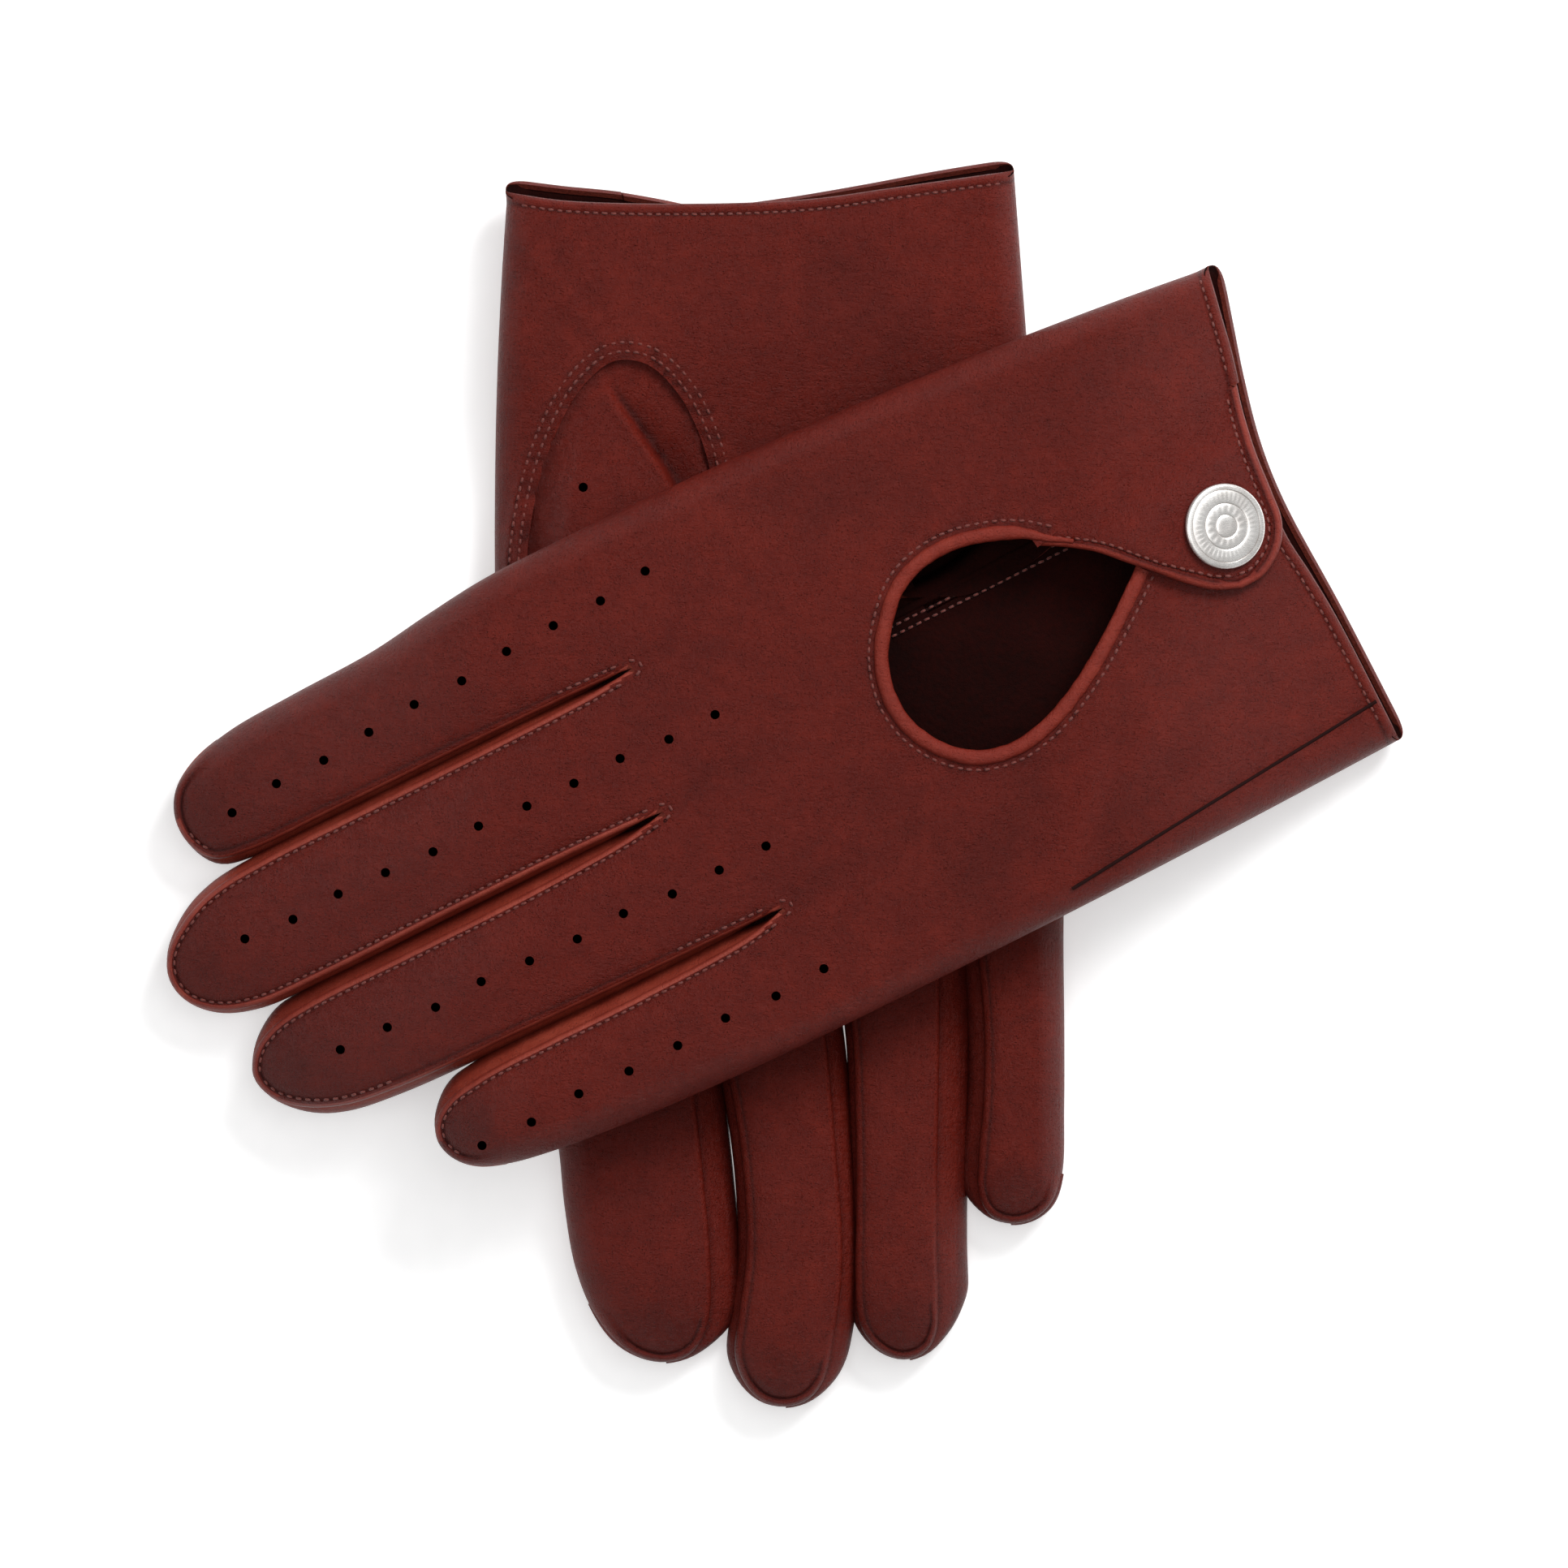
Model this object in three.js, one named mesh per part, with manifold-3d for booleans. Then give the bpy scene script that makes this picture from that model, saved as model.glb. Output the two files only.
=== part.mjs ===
// A pair of unlined leather driving gloves, lying crossed: the right glove flat with its palm up, and
// the left glove across it with its back up. Millimetres, +Z up, origin under the middle of the pair.
//
// Each glove is drawn in its own frame: u runs from the cuff to the fingertips, v from the index side to
// the little finger's side, and w from the outside of the palm (0) to the outside of the back.

import * as THREE from "three";
import { mergeVertices } from "three/addons/utils/BufferGeometryUtils.js";
import Module from "manifold-3d";

const { clamp, degToRad, lerp, smoothstep } = THREE.MathUtils;
const wasm = await Module();
wasm.setup();

// Driving dimensions.
const LEATHER = 1.0;
const GAP = 0.3; // between pieces that touch or are sewn together
const GLOVE_HEIGHT = 9.5; // outside of palm to outside of back, with the glove lying relaxed
const CUFF_WIDTH = 91;
const HAND_LENGTH = 121; // cuff to the forks of the fingers
const LEFT_PALM_SHIFT = -2.15; // the palm's middle, towards the index side from the cuff's middle
const RIGHT_PALM_SHIFT = -4.6;
const BACK_CUFF = 0; // where the back's cuff edge starts
const PALM_CUFF = -1.8; // the palm's cuff edge reaches a little further
const CUFF_SLOPE = 7; // the cuff edge recedes this much from the index side to its middle
const FINGERS = [
  { name: "index", width: 26.3, length: 85.8, bend: 52 },
  { name: "middle", width: 25.4, length: 99.5, bend: 44 },
  { name: "ring", width: 24.8, length: 93.5, bend: 36 },
  { name: "little", width: 23.6, length: 68.3, bend: 26 },
];
// Sideways run of the hand's edge, the three slits and the other edge, over SPREAD_LENGTH of finger.
const LEFT_SPREAD = [4, 0, 0.5, -0.5, -2.5];
const RIGHT_SPREAD = [5.6, 7.8, 5, 1.2, -4.5];
const SPREAD_LENGTH = 62;
const FORK_DEPTHS = [0.2, 6.6, -5.2]; // each fork, along the hand from HAND_LENGTH
const SLIT_WIDTH = 2.4; // between the backs of two fingers
const PALM_INSET = 3.6; // a finger's palm face is this much narrower on each sewn side
const SLIT_OPENING = 26; // the slit reaches its full width this far from its fork
const TIP_LENGTH = 14; // the rounded end of a finger

const THUMB_START = 29.5; // cuff end of the thumb's arch
const THUMB_END = 92.5;
const THUMB_CROTCH = 70; // where the thumb leaves the palm
const THUMB_MIDDLE = -29;
const THUMB_WIDTH = 31;
const THUMB_HEIGHT = 6.9;
const THUMB_SIDE = 5; // width of its rounded sides
const THUMB_RISE = 22; // the thumb swells to its full height along this length
const THUMB_OVERLAP = 1.5; // the thumb leather covers the edge of its opening by this much

const KEYHOLE_CENTRE = [63.3, -2];
const KEYHOLE_RADIUS = 17.6;
const KEYHOLE_LENGTH = 30.4; // centre of the round part to the point
const BINDING_WIDTH = 2.0;
const BINDING_DEPTH = 1.8; // from the outside of the back

const SNAP_PLACE = [16.7, -3];
const CAP_RADIUS = 7.6;
const CAP_THICKNESS = 1.1;
const CAP_SHANK_RADIUS = 1.5;
const SOCKET_RADIUS = 6;
const SOCKET_HEIGHT = 1.5;
const STUD_RADIUS = 5.4;
const STUD_BASE = 0.5;
const STUD_HEAD_RADIUS = 2.2;
const STUD_HEAD_HEIGHT = 1.5;
const POST_RADIUS = 4.5;
const POST_BASE = 0.6;
const POST_SHANK_RADIUS = 1.1;

const STRAP_ROOT = [[-2, -25.7], [47, -14]]; // the fold that the strap opens on, cuff end first
const STRAP_RADIUS = 12; // of its round end, about the snap
const STRAP_RAMP = 10; // the strap climbs onto the other half of the back along this length
const FLAP_EDGE = [[-12, -12], [34, -4]]; // free edge of the half of the back under the strap

const LEFT_PLACE = { x: 94.1, y: 50.3, turn: 205.97 };
const RIGHT_PLACE = { x: -3.5, y: 107.3, turn: -85.6 };
const REST_HEIGHT = 1.5; // the ends of the left glove, over the surface
const DRAPE_START = 50; // the left glove starts to fall this far from the right one's middle
const DRAPE_END = 112;
const CROSSING_CLEARANCE = 0.3; // between the right palm and the left thumb folded under its own palm
const CUFF_RAMP = [23, 54]; // the right cuff comes down from its snap between these

// Values that follow from them.
const MIDDLE = GLOVE_HEIGHT / 2;
const PALM_WIDTH = FINGERS.reduce((sum, finger) => sum + finger.width, 0);
const FORKS = FORK_DEPTHS.map((depth) => HAND_LENGTH + depth);
const TAB_UNDERSIDE = GAP + STUD_BASE + GAP + SOCKET_HEIGHT + GAP;
const CAP_UNDERSIDE = TAB_UNDERSIDE + LEATHER + GAP;
const SNAP_HEIGHT = CAP_UNDERSIDE + CAP_THICKNESS;
const THUMB_HALF = THUMB_WIDTH / 2;

const COLUMNS = 3; // across one finger
const ROW = 7; // the longest step along the hand
const FOLD_ANGLES = [0, 45].map(degToRad);
const TIP_ANGLES = [28, 50, 66, 75].map(degToRad);
const LAST_ANGLE = TIP_ANGLES.at(-1);
const CROSSING_LIFT = crossingLift();

const leather = new THREE.MeshStandardMaterial({ color: 0x68211c, roughness: 0.55, metalness: 0 });
const sideLeather = new THREE.MeshStandardMaterial({ color: 0x7c3024, roughness: 0.6, metalness: 0 });
const bindingLeather = new THREE.MeshStandardMaterial({ color: 0x8a3d2c, roughness: 0.55, metalness: 0 });
const nickel = new THREE.MeshStandardMaterial({ color: 0xe1dedc, roughness: 0.25, metalness: 1 });

// ---- How each glove lies ------------------------------------------------------------------------

function placed(place, u, v) {
  const turn = degToRad(place.turn);
  return new THREE.Vector2(u, v).rotateAround(new THREE.Vector2(), turn).add(place);
}

// A point of the left glove, as the right glove's u and v.
function onRightGlove(u, v) {
  const turn = degToRad(-RIGHT_PLACE.turn);
  const { x, y } = placed(LEFT_PLACE, u, v).sub(RIGHT_PLACE).rotateAround(new THREE.Vector2(), turn);
  return [x, y];
}

// The right glove lies flat, with its cuff propped up by its own snap. Its w axis points down.
function rightDrape(u) {
  return -SNAP_HEIGHT * (1 - smoothstep(u, ...CUFF_RAMP));
}

// How high the left palm lies, for its folded thumb to clear the right palm and its propped cuff.
function crossingLift() {
  const needs = thumbStations().flatMap(({ u, half, height }) => {
    const edge = half - thumbBulge(half);
    return [-edge, edge].map((side) => {
      const [underneath] = onRightGlove(u, THUMB_MIDDLE + side);
      return GLOVE_HEIGHT - rightDrape(underneath) + height;
    });
  });
  return Math.max(...needs) + CROSSING_CLEARANCE;
}

// The left glove is carried by the right one and falls towards the surface on both sides of it.
function leftDrape(u, v) {
  const [, across] = onRightGlove(u, v);
  return lerp(CROSSING_LIFT, REST_HEIGHT, smoothstep(Math.abs(across), DRAPE_START, DRAPE_END));
}

// What differs between the gloves: how each is draped, where its fingers meet, and how they spread.
function gloveLie(drape, palmShift, spread) {
  const edges = [palmShift - PALM_WIDTH / 2];
  for (const finger of FINGERS) edges.push(edges.at(-1) + finger.width);
  return { drape, edges, spread };
}

// ---- Sheets of leather --------------------------------------------------------------------------

// Two corners of a sheet, one on each face, given as [u, v, w].
function corner(lie, outer, inner) {
  const lay = ([u, v, w]) => [u, v, w + lie.drape(u, v)];
  return { outer: lay(outer), inner: lay(inner) };
}

function gridQuads(rows) {
  const quads = [];
  for (let i = 0; i + 1 < rows.length; i++) {
    for (let j = 0; j + 1 < rows[i].length; j++) {
      quads.push([rows[i][j], rows[i + 1][j], rows[i + 1][j + 1], rows[i][j + 1]]);
    }
  }
  return quads;
}

function signedVolume(points, triangles) {
  let volume = 0;
  for (let i = 0; i < triangles.length; i += 3) {
    const [a, b, c] = triangles.slice(i, i + 3).map((k) => new THREE.Vector3(...points[k]));
    volume += a.dot(b.cross(c)) / 6;
  }
  return volume;
}

// Closes a list of quads into a slab, with a wall along each edge that belongs to one quad only.
function slabGeometry(quads) {
  const outer = [];
  const inner = [];
  const known = new Map();
  const indexOf = (pair) => {
    const key = pair.outer.map((value) => value.toFixed(3)).join();
    if (!known.has(key)) {
      known.set(key, outer.length);
      outer.push(pair.outer);
      inner.push(pair.inner);
    }
    return known.get(key);
  };
  const faces = quads.map((quad) => quad.map(indexOf));
  const inside = outer.length;
  const triangles = [];
  for (const [a, b, c, d] of faces) {
    triangles.push(a, b, c, a, c, d);
    triangles.push(inside + a, inside + c, inside + b, inside + a, inside + d, inside + c);
  }
  const edges = faces.flatMap((face) => face.map((a, i) => [a, face[(i + 1) % 4]]));
  const names = new Set(edges.map((edge) => edge.join()));
  for (const [a, b] of edges) {
    if (names.has([b, a].join())) continue;
    triangles.push(b, a, inside + a, b, inside + a, inside + b);
  }
  const points = [...outer, ...inner];
  if (signedVolume(points, triangles) < 0) triangles.reverse();
  const geometry = new THREE.BufferGeometry();
  geometry.setAttribute("position", new THREE.Float32BufferAttribute(points.flat(), 3));
  return geometry.setIndex(triangles);
}

function sheet(rows) {
  return slabGeometry(gridQuads(rows));
}

// ---- Cutting ------------------------------------------------------------------------------------

function solid(geometry) {
  const bare = geometry.clone().deleteAttribute("normal").deleteAttribute("uv");
  const merged = mergeVertices(bare, 1e-3);
  return new wasm.Manifold(
    new wasm.Mesh({
      numProp: 3,
      vertProperties: merged.attributes.position.array,
      triVerts: new Uint32Array(merged.index.array),
    }),
  );
}

function cut(geometry, ...cutters) {
  const left = cutters.reduce((body, cutter) => body.subtract(solid(cutter)), solid(geometry));
  const { vertProperties, triVerts } = left.getMesh();
  const result = new THREE.BufferGeometry();
  result.setAttribute("position", new THREE.BufferAttribute(vertProperties, 3));
  return result.setIndex(new THREE.BufferAttribute(triVerts, 1));
}

// A cutter with an outline in u and v, through every layer of the glove.
function throughCutter(shape) {
  const reach = 2 * CROSSING_LIFT;
  return new THREE.ExtrudeGeometry(shape, { depth: 2 * reach, bevelEnabled: false, curveSegments: 18 })
    .translate(0, 0, -reach);
}

// ---- Hand and fingers ---------------------------------------------------------------------------

function fingertip(k) {
  return HAND_LENGTH + FINGERS[k].length;
}

function bendLine(k) {
  return HAND_LENGTH + FINGERS[k].bend;
}

// Side of the hand at u: side is -1 on the index side and 1 on the little finger's.
function handEdge(lie, side, u) {
  const along = clamp(u / HAND_LENGTH, 0, 1);
  const knuckle = side < 0 ? lie.edges[0] : lie.edges.at(-1);
  return lerp((side * CUFF_WIDTH) / 2, knuckle, 1 - (1 - along) ** 2);
}

// The line between finger edge - 1 and finger edge, or an outer side of the hand.
function fingerLine(lie, edge, u) {
  return lie.edges[edge] + lie.spread[edge] * clamp((u - HAND_LENGTH) / SPREAD_LENGTH, 0, 1);
}

// A finger's edge before its tip is rounded: a fold on the outside of the hand, or a slit's side.
function straightEdge(lie, k, side, u, face) {
  const line = fingerLine(lie, side < 0 ? k : k + 1, u);
  if (isFold(k, side)) return line;
  const slit = side < 0 ? k - 1 : k;
  const opened = clamp((u - FORKS[slit]) / SLIT_OPENING, 0, 1) ** 0.6;
  const inset = face < 0 ? PALM_INSET : 0;
  return line - side * opened * (SLIT_WIDTH / 2 + inset);
}

function isFold(k, side) {
  return (k === 0 && side < 0) || (k === FINGERS.length - 1 && side > 0);
}

// Where a row of a finger lies, how narrow the finger is there, and half its height.
function fingerStations(k, from, to) {
  const tipStart = fingertip(k) - TIP_LENGTH;
  const end = Math.min(to, tipStart);
  const steps = Math.ceil((end - from) / ROW);
  const stations = [];
  for (let i = 0; i <= steps; i++) {
    stations.push({ u: lerp(from, end, i / steps), narrow: 1, half: MIDDLE });
  }
  if (to <= tipStart) return stations;
  const closed = LEATHER + GAP;
  for (const angle of TIP_ANGLES) {
    const share = (Math.cos(angle) - Math.cos(LAST_ANGLE)) / (1 - Math.cos(LAST_ANGLE));
    stations.push({
      u: tipStart + (TIP_LENGTH * Math.sin(angle)) / Math.sin(LAST_ANGLE),
      narrow: Math.cos(angle),
      half: lerp(closed, MIDDLE, share),
    });
  }
  return stations;
}

function fingerEdge(lie, k, side, station, face) {
  const tipStart = fingertip(k) - TIP_LENGTH;
  const u = Math.min(station.u, tipStart);
  const near = straightEdge(lie, k, side, u, face);
  const far = straightEdge(lie, k, -side, u, face);
  const middle = (near + far) / 2;
  return lerp(middle, near, station.narrow);
}

// The quarter-round wall of a fold, from the middle of the height to the face.
function foldCorners(lie, u, edge, side, face, half) {
  return FOLD_ANGLES.map((angle) => {
    const point = (depth) => {
      const radius = half - depth;
      const height = Math.max(GAP / 2, radius * Math.sin(angle));
      return [u, edge - side * (depth + radius * (1 - Math.cos(angle))), MIDDLE + face * height];
    };
    return corner(lie, point(0), point(LEATHER));
  });
}

function flatCorner(lie, u, v, face, half) {
  return corner(lie, [u, v, MIDDLE + face * half], [u, v, MIDDLE + face * (half - LEATHER)]);
}

// One row across a finger's back or palm face.
function fingerRow(lie, k, station, face) {
  const { u, half } = station;
  const edges = [-1, 1].map((side) => fingerEdge(lie, k, side, station, face));
  const [left, right] = [-1, 1].map((side, i) => edges[i] - (isFold(k, side) ? side * half : 0));
  const row = [];
  if (isFold(k, -1)) row.push(...foldCorners(lie, u, edges[0], -1, face, half));
  for (let j = 0; j <= COLUMNS; j++) {
    row.push(flatCorner(lie, u, lerp(left, right, j / COLUMNS), face, half));
  }
  if (isFold(k, 1)) row.push(...foldCorners(lie, u, edges[1], 1, face, half).reverse());
  return row;
}

// The hand's share of the way across, for each column from the index side to the little finger's.
function handShares(lie) {
  const start = lie.edges[0] + MIDDLE;
  const width = lie.edges.at(-1) - MIDDLE - start;
  const marks = lie.edges.map((v) => clamp((v - start) / width, 0, 1));
  const shares = [0];
  for (let k = 0; k < FINGERS.length; k++) {
    for (let j = 1; j <= COLUMNS; j++) shares.push(lerp(marks[k], marks[k + 1], j / COLUMNS));
  }
  return shares;
}

function forkLine(column) {
  const ends = [HAND_LENGTH, ...FORKS, HAND_LENGTH];
  const k = Math.min(Math.floor(column / COLUMNS), FINGERS.length - 1);
  return lerp(ends[k], ends[k + 1], column / COLUMNS - k);
}

function cuffLine(share, start) {
  return start - 3 + CUFF_SLOPE * Math.sin((Math.PI / 2) * Math.min(1, 2 * share));
}

function handRow(lie, t, face, cuffStart) {
  const shares = handShares(lie);
  const last = shares.length - 1;
  const along = (column) => lerp(cuffLine(shares[column], cuffStart), forkLine(column), t);
  const left = handEdge(lie, -1, along(0));
  const right = handEdge(lie, 1, along(last));
  const flats = shares.map((share, column) => {
    const v = lerp(left + MIDDLE, right - MIDDLE, share);
    return flatCorner(lie, along(column), v, face, MIDDLE);
  });
  return [
    ...foldCorners(lie, along(0), left, -1, face, MIDDLE),
    ...flats,
    ...foldCorners(lie, along(last), right, 1, face, MIDDLE).reverse(),
  ];
}

// The hand's back or palm, with the first part of each finger in one piece with it.
function handPanel(lie, face, cuffStart) {
  const steps = Math.ceil(HAND_LENGTH / ROW);
  const rows = [];
  for (let i = 0; i <= steps; i++) rows.push(handRow(lie, i / steps, face, cuffStart));
  const quads = gridQuads(rows);
  const front = rows.at(-1);
  const folds = FOLD_ANGLES.length;
  FINGERS.forEach((finger, k) => {
    const first = isFold(k, -1) ? 0 : folds + k * COLUMNS;
    const end = folds + (k + 1) * COLUMNS + 1 + (isFold(k, 1) ? folds : 0);
    const start = Math.max(...forkEnds(k)) + ROW / 2;
    const stations = fingerStations(k, start, bendLine(k) - GAP / 2);
    const stump = stations.map((station) => fingerRow(lie, k, station, face));
    quads.push(...gridQuads([front.slice(first, end), ...stump]));
  });
  return slabGeometry(quads);
}

// The two ends of the fork line across one finger.
function forkEnds(k) {
  return [forkLine(k * COLUMNS), forkLine((k + 1) * COLUMNS)];
}

function fingerPanel(lie, k, face) {
  const stations = fingerStations(k, bendLine(k) + GAP / 2, fingertip(k));
  return sheet(stations.map((station) => fingerRow(lie, k, station, face)));
}

// The strip of leather between a finger's back and its palm face, at each station.
function fourchetteRow(lie, k, side, station) {
  const reach = station.half - LEATHER - GAP;
  return [1, -1].map((face) => {
    const edge = fingerEdge(lie, k, side, station, face);
    const w = MIDDLE + face * reach;
    return corner(lie, [station.u, edge, w], [station.u, edge - side * LEATHER, w]);
  });
}

function fourchette(lie, k, side) {
  const stations = fingerStations(k, bendLine(k) + GAP / 2, fingertip(k));
  const room = stations.filter((station) => station.half > 2 * LEATHER);
  return sheet(room.map((station) => fourchetteRow(lie, k, side, station)));
}

// The V of leather in the fork between finger k and the next, as far as where they bend.
function fork(lie, k) {
  const strip = (finger, side) => {
    const start = FORKS[k] + ROW / 2;
    const stations = fingerStations(finger, start, bendLine(finger) - GAP / 2);
    return stations.map((station) => fourchetteRow(lie, finger, side, station));
  };
  const v = fingerLine(lie, k + 1, FORKS[k]);
  const reach = MIDDLE - LEATHER - GAP;
  const apex = [1, -1].map((face) => {
    const w = MIDDLE + face * reach;
    return corner(lie, [FORKS[k], v, w], [FORKS[k] - 2 * LEATHER, v, w]);
  });
  return sheet([...strip(k, 1).reverse(), apex, ...strip(k + 1, -1)]);
}

// ---- Thumb --------------------------------------------------------------------------------------

// Rows along the thumb: its place, half its width and its height over the palm.
function thumbStations() {
  const closed = 2 * GAP + LEATHER;
  const tipHeight = 2 * LEATHER + 2 * GAP;
  const height = (u) => lerp(closed, THUMB_HEIGHT, smoothstep(u, THUMB_START, THUMB_START + THUMB_RISE));
  const start = [...TIP_ANGLES].reverse().map((angle) => {
    const u = THUMB_START + THUMB_HALF * (1 - Math.sin(angle) / Math.sin(LAST_ANGLE));
    return { u, half: THUMB_HALF * Math.cos(angle), height: height(u) };
  });
  const from = THUMB_START + THUMB_HALF;
  const to = THUMB_END - TIP_LENGTH;
  const steps = Math.ceil((to - from) / ROW);
  const middle = [];
  for (let i = 0; i <= steps; i++) {
    const u = lerp(from, to, i / steps);
    middle.push({ u, half: THUMB_HALF, height: height(u) });
  }
  const tip = TIP_ANGLES.map((angle) => {
    const share = (Math.cos(angle) - Math.cos(LAST_ANGLE)) / (1 - Math.cos(LAST_ANGLE));
    return {
      u: to + (TIP_LENGTH * Math.sin(angle)) / Math.sin(LAST_ANGLE),
      half: THUMB_HALF * Math.cos(angle),
      height: lerp(tipHeight, THUMB_HEIGHT, share),
    };
  });
  return [...start, ...middle, ...tip];
}

// How far the thumb's rounded side reaches in.
function thumbBulge(half) {
  return Math.min(THUMB_SIDE, half / 2);
}

// The thumb's outer leather, over the palm like a long lid, with walls down to the palm.
function thumbFront(lie) {
  const rows = thumbStations().map(({ u, half, height }) => {
    const bulge = thumbBulge(half);
    const wall = (side) =>
      FOLD_ANGLES.map((angle) => {
        const point = (depth) => {
          const inward = depth + (bulge - depth) * (1 - Math.cos(angle));
          const rise = (height - GAP - depth) * Math.sin(angle);
          return [u, THUMB_MIDDLE + side * (half - inward), -GAP - rise];
        };
        return corner(lie, point(0), point(LEATHER));
      });
    const flats = [];
    for (let j = 0; j <= COLUMNS; j++) {
      const v = THUMB_MIDDLE + lerp(bulge - half, half - bulge, j / COLUMNS);
      flats.push(corner(lie, [u, v, -height], [u, v, LEATHER - height]));
    }
    return [...wall(-1), ...flats, ...wall(1).reverse()];
  });
  return sheet(rows);
}

// The thumb's inner leather, flat against the palm from the crotch to the tip.
function thumbBack(lie) {
  const inWalls = LEATHER + 3 * GAP;
  const rows = thumbStations()
    .filter(({ u, height }) => u > THUMB_CROTCH && height > 3 * LEATHER + 2 * GAP)
    .map(({ u, half }) => {
      const row = [];
      for (let j = 0; j <= COLUMNS; j++) {
        const v = THUMB_MIDDLE + lerp(inWalls - half, half - inWalls, j / COLUMNS);
        row.push(corner(lie, [u, v, -GAP - LEATHER], [u, v, -GAP]));
      }
      return row;
    });
  return sheet(rows);
}

function thumbOpening() {
  const radius = THUMB_HALF - THUMB_OVERLAP;
  const centre = THUMB_START + THUMB_OVERLAP + radius;
  const shape = new THREE.Shape();
  shape.moveTo(THUMB_CROTCH, THUMB_MIDDLE + radius);
  shape.absarc(centre, THUMB_MIDDLE, radius, Math.PI / 2, (3 * Math.PI) / 2, false);
  shape.lineTo(THUMB_CROTCH, THUMB_MIDDLE - radius);
  return throughCutter(shape);
}

// ---- Keyhole, strap and snap --------------------------------------------------------------------

// The keyhole's outline, grown outwards by offset: points round from its tip and back to it.
function keyholePoints(offset) {
  const [u, v] = KEYHOLE_CENTRE;
  const spread = Math.acos(KEYHOLE_RADIUS / KEYHOLE_LENGTH);
  const radius = KEYHOLE_RADIUS + offset;
  const tip = new THREE.Vector2(u - radius / Math.cos(spread), v);
  const points = [tip];
  const steps = 22;
  for (let i = 0; i <= steps; i++) {
    const angle = lerp(Math.PI - spread, spread - Math.PI, i / steps);
    points.push(new THREE.Vector2(u + radius * Math.cos(angle), v + radius * Math.sin(angle)));
  }
  return points;
}

function keyholeOpening() {
  return throughCutter(new THREE.Shape(keyholePoints(BINDING_WIDTH + GAP)));
}

// The rolled binding of the keyhole, from under the strap round to the strap's fold.
function keyholeBinding(lie) {
  const [inside, outside] = [0, BINDING_WIDTH].map(keyholePoints);
  const rows = inside.map((point, i) =>
    [point, outside[i]].map(({ x, y }) =>
      corner(lie, [x, y, GLOVE_HEIGHT], [x, y, GLOVE_HEIGHT - BINDING_DEPTH]),
    ),
  );
  return sheet(rows);
}

// The back is open from the keyhole to the cuff, under the strap.
function strapOpening() {
  const [cuffEnd, keyholeEnd] = STRAP_ROOT.map((point) => new THREE.Vector2(...point));
  const along = keyholeEnd.clone().sub(cuffEnd).normalize();
  const [flapCuff, flapTip] = FLAP_EDGE.map((point) => new THREE.Vector2(...point));
  return throughCutter(
    new THREE.Shape([
      cuffEnd.clone().addScaledVector(along, -3 * ROW),
      keyholeEnd.clone().addScaledVector(along, ROW),
      flapTip,
      flapCuff,
    ]),
  );
}

// How far a point is from the strap's fold, on the strap's side of it.
function fromStrapRoot(u, v) {
  const [cuffEnd, keyholeEnd] = STRAP_ROOT.map((point) => new THREE.Vector2(...point));
  const along = keyholeEnd.clone().sub(cuffEnd).normalize();
  const offset = new THREE.Vector2(u, v).sub(cuffEnd);
  return along.cross(offset);
}

function strap(lie) {
  const [cuffEnd, keyholeEnd] = STRAP_ROOT.map((point) => new THREE.Vector2(...point));
  const along = keyholeEnd.clone().sub(cuffEnd).normalize();
  const off = new THREE.Vector2(-along.y, along.x).multiplyScalar(GAP);
  const centre = new THREE.Vector2(...SNAP_PLACE);
  const onEnd = (angle) => {
    const arm = new THREE.Vector2(Math.cos(angle), Math.sin(angle));
    return centre.clone().addScaledVector(arm, STRAP_RADIUS);
  };
  const keyholeAngle = degToRad(50);
  const cuffAngle = degToRad(190);
  const roots = [keyholeEnd.clone().add(off), cuffEnd.clone().add(off)];
  const sides = [onEnd(keyholeAngle), onEnd(cuffAngle)];
  const steps = 6;
  const ends = [];
  for (let i = 0; i <= steps; i++) {
    ends.push(roots.map((root, j) => root.clone().lerp(sides[j], i / steps)));
  }
  for (const share of [0.3, 0.6, 0.85]) {
    const half = (cuffAngle - keyholeAngle) / 2;
    ends.push([onEnd(keyholeAngle + half * share), onEnd(cuffAngle - half * share)]);
  }
  const columns = 5;
  const rows = ends.map(([keyholeSide, cuffSide]) => {
    const row = [];
    for (let j = 0; j <= columns; j++) {
      const { x, y } = keyholeSide.clone().lerp(cuffSide, j / columns);
      const climb = (TAB_UNDERSIDE + LEATHER) * smoothstep(fromStrapRoot(x, y), GAP, STRAP_RAMP);
      const w = GLOVE_HEIGHT + climb;
      row.push(corner(lie, [x, y, w], [x, y, w - LEATHER]));
    }
    return row;
  });
  return sheet(rows);
}

// The snap's frame: on the outside of the back, with z out of the leather.
function snapFrame(lie) {
  const [u, v] = SNAP_PLACE;
  const step = 1;
  const rise = lie.drape(u, v);
  const alongU = rise - lie.drape(u + step, v);
  const alongV = rise - lie.drape(u, v + step);
  const normal = new THREE.Vector3(alongU, alongV, step).normalize();
  const frame = new THREE.Group();
  frame.position.set(u, v, GLOVE_HEIGHT + rise);
  frame.quaternion.setFromUnitVectors(new THREE.Vector3(0, 0, 1), normal);
  frame.updateMatrix();
  return frame;
}

function turned(profile, segments) {
  const points = profile.map(([radius, z]) => new THREE.Vector2(radius, z));
  return new THREE.LatheGeometry(points, segments).rotateX(Math.PI / 2);
}

function boreCutter(frame, radius) {
  return new THREE.CylinderGeometry(radius, radius, 4 * SNAP_HEIGHT, 12)
    .rotateX(Math.PI / 2)
    .applyMatrix4(frame.matrix);
}

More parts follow.
